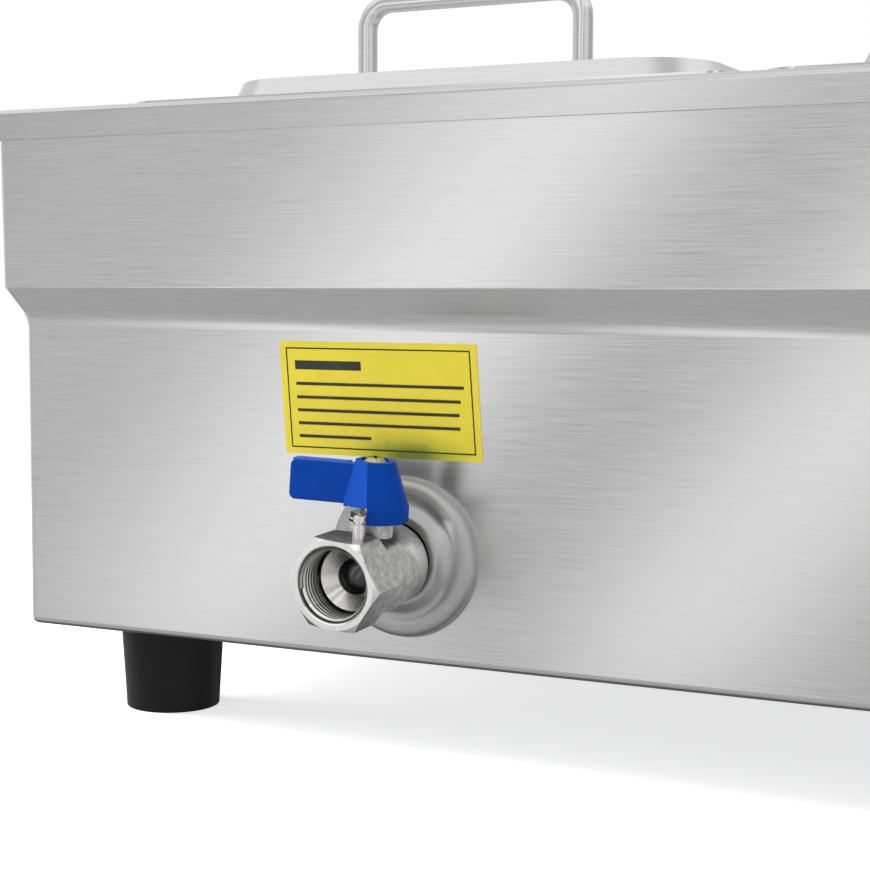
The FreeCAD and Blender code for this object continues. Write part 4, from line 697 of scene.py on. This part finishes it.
def photo_camera():
    yaw = radians(camera_yaw)
    pitch = radians(camera_pitch)
    roll = radians(camera_roll)
    ahead = Vector((-sin(yaw) * cos(pitch), cos(yaw) * cos(pitch), -sin(pitch)))
    level = Vector((cos(yaw), sin(yaw), 0.0))
    upward = level.cross(ahead)
    right = level * cos(roll) + upward * sin(roll)
    top = upward * cos(roll) - level * sin(roll)
    data = bpy.data.cameras.new("photo_camera")
    data.sensor_width = film_width
    data.lens = film_width * camera_focal_pixels / picture_pixels
    data.clip_start = 0.01
    camera = bpy.data.objects.new("photo_camera", data)
    bpy.context.collection.objects.link(camera)
    turned = Matrix((right, top, -ahead)).transposed().to_4x4()
    camera.matrix_world = Matrix.Translation(camera_place) @ turned
    bpy.context.scene.camera = camera


# Drain valve

def traced_line(name, points):
    """Edges through the points in turn, drawn out from a single vertex."""
    nothing_selected()
    bpy.ops.mesh.primitive_plane_add(size=1.0 * mm, location=points[0])
    line = just_made(name)
    settle(line)
    open_all(line)
    bpy.ops.mesh.merge(type="CENTER")
    for here, there in zip(points, points[1:]):
        step = [b - a for a, b in zip(here, there)]
        bpy.ops.mesh.extrude_vertices_move(TRANSFORM_OT_translate={"value": step})
    close()
    return line


def thread_cutter():
    """The plug whose thread cuts the valve's mouth: 14 threads to the inch."""
    flank = (thread_valley - thread_top) * tan(radians(thread_flank))
    flat = (thread_pitch - 2 * flank) / 2
    rounded = 0.1 * mm
    profile = [
        (thread_top, 0.0),
        (thread_top, 0.5 * flat),
        (thread_valley - rounded, 0.5 * flat + flank - 0.5 * rounded),
        (thread_valley, 0.5 * flat + flank + 0.4 * rounded),
        (thread_valley, 1.5 * flat + flank - 0.4 * rounded),
        (thread_valley - rounded, 1.5 * flat + flank + 0.5 * rounded),
        (thread_top, 1.5 * flat + 2 * flank),
        (thread_top, thread_pitch),
    ]
    start = thread_inner_end - thread_pitch
    cutter = traced_line("thread_cutter", [(r, 0.0, start + z) for r, z in profile])
    use_modifier(cutter, "SCREW", axis="Z", screw_offset=thread_pitch, iterations=9, steps=72,
                 render_steps=72, use_merge_vertices=True, merge_threshold=0.001 * mm)
    open_all(cutter)
    bpy.ops.mesh.remove_doubles(threshold=joined_within)
    for height, way in ((thread_inner_end + 0.3 * mm, -1), (thread_outer_end, 1)):
        bpy.ops.mesh.select_all(action="SELECT")
        bpy.ops.mesh.bisect(plane_co=(0, 0, height), plane_no=(0, 0, way), use_fill=True,
                            clear_outer=True)
    bpy.ops.mesh.select_all(action="SELECT")
    bpy.ops.mesh.normals_make_consistent(inside=False)
    close()
    return settle(cutter, on_valve())


def threaded_body():
    body = copy_of("valve_body", "threaded_valve_body")
    cutter = thread_cutter()
    use_modifier(body, "BOOLEAN", operation="DIFFERENCE", object=cutter, solver="EXACT")
    bpy.data.objects.remove(cutter)
    smooth(body, 32)
    finished(body, finishes["cast_steel"], "main_unit")
    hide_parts("valve_body")


def lever_grip():
    """The row of small ridges along the lever's upper edge."""
    first_ridge = (-31.5 * mm, 36.6 * mm, 28.7 * mm)
    ridge_step = 1.3 * mm
    rise = tan(radians(4.0))
    nothing_selected()
    bpy.ops.mesh.primitive_cylinder_add(vertices=10, radius=0.5 * mm, depth=4.4 * mm,
                                        location=first_ridge)
    grip = just_made("lever_grip")
    settle(grip)
    use_modifier(grip, "ARRAY", count=17, use_relative_offset=False, use_constant_offset=True,
                 constant_offset_displace=(ridge_step, ridge_step * rise, 0.0))
    settle(grip, on_valve())
    smooth(grip, 30)
    grip.visible_glossy = False
    # The grip's lighter blue is a painted highlight along the lever's upper edge.
    finished(grip, finishes["grip_blue"], "drain_lever")


def moulded_lever():
    lever = copy_of("valve_handle", "moulded_lever")
    open_all(lever)
    bpy.ops.mesh.dissolve_limited(angle_limit=radians(0.6))
    close()
    use_modifier(lever, "BEVEL", width=0.8 * mm, segments=3, limit_method="ANGLE",
                 angle_limit=radians(38), harden_normals=False)
    lever.visible_glossy = False
    smooth(lever, 30)
    use_modifier(lever, "WEIGHTED_NORMAL", keep_sharp=True)
    finished(lever, finishes["lever_blue"], "drain_lever")
    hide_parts("valve_handle")


# Printing on the label, the dial and the switch

def printed_patch(name, corner, along, up):
    """A thin printed patch, drawn from its lower left corner along and then up."""
    patch = traced_line(name, [corner, Vector(corner) + Vector(along)])
    open_all(patch)
    bpy.ops.mesh.extrude_edges_move(TRANSFORM_OT_translate={"value": up})
    bpy.ops.mesh.select_all(action="SELECT")
    bpy.ops.mesh.normals_make_consistent(inside=False)
    close()
    return print_depth(patch)


def print_depth(patch):
    """Turns the patch to face the front, and gives it a film's thickness."""
    if patch.data.polygons[0].normal.y > 0.0:
        open_all(patch)
        bpy.ops.mesh.flip_normals()
        close()
    use_modifier(patch, "SOLIDIFY", thickness=ink_thickness, offset=1.0)
    return patch


def joined_up(name, pieces):
    nothing_selected()
    for piece in pieces:
        piece.select_set(True)
    bpy.context.view_layer.objects.active = pieces[0]
    bpy.ops.object.join()
    return just_made(name)


def label_patch(name, left, right, low, high):
    """A patch on the sticker, whose sides count from 0 to 1."""
    across = Vector(sticker_across)
    upward = Vector(sticker_upward)
    corner = Vector(sticker_corner) + across * left + upward * low
    return printed_patch(name, corner, across * (right - left), upward * (high - low))


def label_print():
    """The sticker's frame line and its ruled rows: each row's height, end and half thickness."""
    left, right, low, high = 0.03, 0.97, 0.055, 0.945
    upright, level = 0.007, 0.0135
    row_start = 0.075
    rows = [(0.79, 0.42, 0.040), (0.625, 0.93, 0.014), (0.505, 0.91, 0.014), (0.39, 0.90, 0.014),
            (0.275, 0.90, 0.014), (0.16, 0.45, 0.014)]
    bars = [label_patch("frame_low", left, right, low, low + level),
            label_patch("frame_high", left, right, high - level, high),
            label_patch("frame_left", left, left + upright, low + level, high - level),
            label_patch("frame_right", right - upright, right, low + level, high - level)]
    for k, (up, end, half) in enumerate(rows):
        bars.append(label_patch("row_%d" % k, row_start, end, up - half, up + half))
    printing = joined_up("label_ruling", bars)
    finished(printing, ink("ink_black", (0.02, 0.022, 0.012)), "main_unit")


def dial_marks():
    """Ticks and figures round the thermostat knob, and the pointer on the knob."""
    centre = Vector(dial_centre)
    tick_ring, tick_width, figure_ring = 24.0 * mm, 0.7 * mm, 31.0 * mm
    marks = []
    for k in range(11):
        angle = radians(dial_angle * k)
        out = Vector((sin(angle), 0.0, cos(angle)))
        side = Vector((cos(angle), 0.0, -sin(angle)))
        length = 3.4 * mm if k % 2 == 0 else 2.2 * mm
        corner = centre + out * tick_ring - side * 0.5 * tick_width
        marks.append(printed_patch("tick_%d" % k, corner, side * tick_width, out * length))
    for k, number in enumerate(("0", "30", "50", "70", "90", "110")):
        angle = radians(2 * dial_angle * k)
        place = centre + Vector((sin(angle), 0.0, cos(angle))) * figure_ring
        marks.append(figure(number, place, 4.2 * mm))
    printing = joined_up("dial_marks", marks)
    finished(printing, ink("ink_dark", (0.02, 0.02, 0.02)), "main_unit")
    pointer = printed_patch("dial_pointer", (232.4 * mm, knob_front, 103.5 * mm),
                            (1.2 * mm, 0.0, 0.0), (0.0, 0.0, 8.5 * mm))
    finished(pointer, finishes["ink_white"], "thermostat_dial")


def figure(number, place, height):
    nothing_selected()
    bpy.ops.object.text_add(location=place, rotation=(radians(90.0), 0.0, 0.0))
    words = bpy.context.object
    words.data.body = number
    words.data.size = height
    words.data.align_x = "CENTER"
    words.data.align_y = "CENTER"
    words.data.extrude = 0.5 * ink_thickness
    words.data.resolution_u = 3
    pick(words)
    bpy.ops.object.convert(target="MESH")
    return settle(just_made("figure_" + number))


def switch_marks():
    """On and off marks on the rocker's two halves."""
    lean = Vector(rocker_lean)
    radius = 2.5 * mm
    corner = Vector(on_mark_centre) - lean * radius + Vector((-0.4 * mm, -0.008 * mm, 0.0))
    bar = printed_patch("on_mark", corner, (0.8 * mm, 0.0, 0.0), lean * 2 * radius)
    nothing_selected()
    bpy.ops.mesh.primitive_circle_add(vertices=48, radius=radius, fill_type="NGON",
                                      location=off_mark_centre,
                                      rotation=(radians(90.0), 0.0, 0.0))
    ring = settle(just_made("off_mark"))
    open_all(ring)
    bpy.ops.mesh.inset(thickness=0.75 * mm)
    bpy.ops.mesh.delete(type="FACE")
    close()
    marks = joined_up("switch_marks", [bar, print_depth(ring)])
    finished(marks, finishes["ink_white"], "power_rocker")


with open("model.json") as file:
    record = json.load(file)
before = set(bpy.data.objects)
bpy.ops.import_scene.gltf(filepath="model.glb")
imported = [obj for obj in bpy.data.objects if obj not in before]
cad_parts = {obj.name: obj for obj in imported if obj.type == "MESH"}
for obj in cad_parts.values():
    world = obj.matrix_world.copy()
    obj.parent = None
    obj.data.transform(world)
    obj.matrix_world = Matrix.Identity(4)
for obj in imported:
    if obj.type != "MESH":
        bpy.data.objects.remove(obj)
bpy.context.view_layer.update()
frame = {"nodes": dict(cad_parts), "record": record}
bpy.context.scene.view_settings.view_transform = "Standard"
photo_camera()
light_stage()
floor()
cards()
finishes = make_finishes()
for row in frame["record"]["subparts"]:
    node = frame["nodes"][row["node"]]
    for place in range(len(node.data.materials)):
        node.material_slots[place].material = finishes[row["material_slot"]]
# The ball gets a near black finish as painted shade, deep inside the valve's bore.
frame["nodes"]["valve_ball"].material_slots[0].material = finishes["ball_chrome"]
threaded_body()
moulded_lever()
lever_grip()
label_print()
dial_marks()
switch_marks()
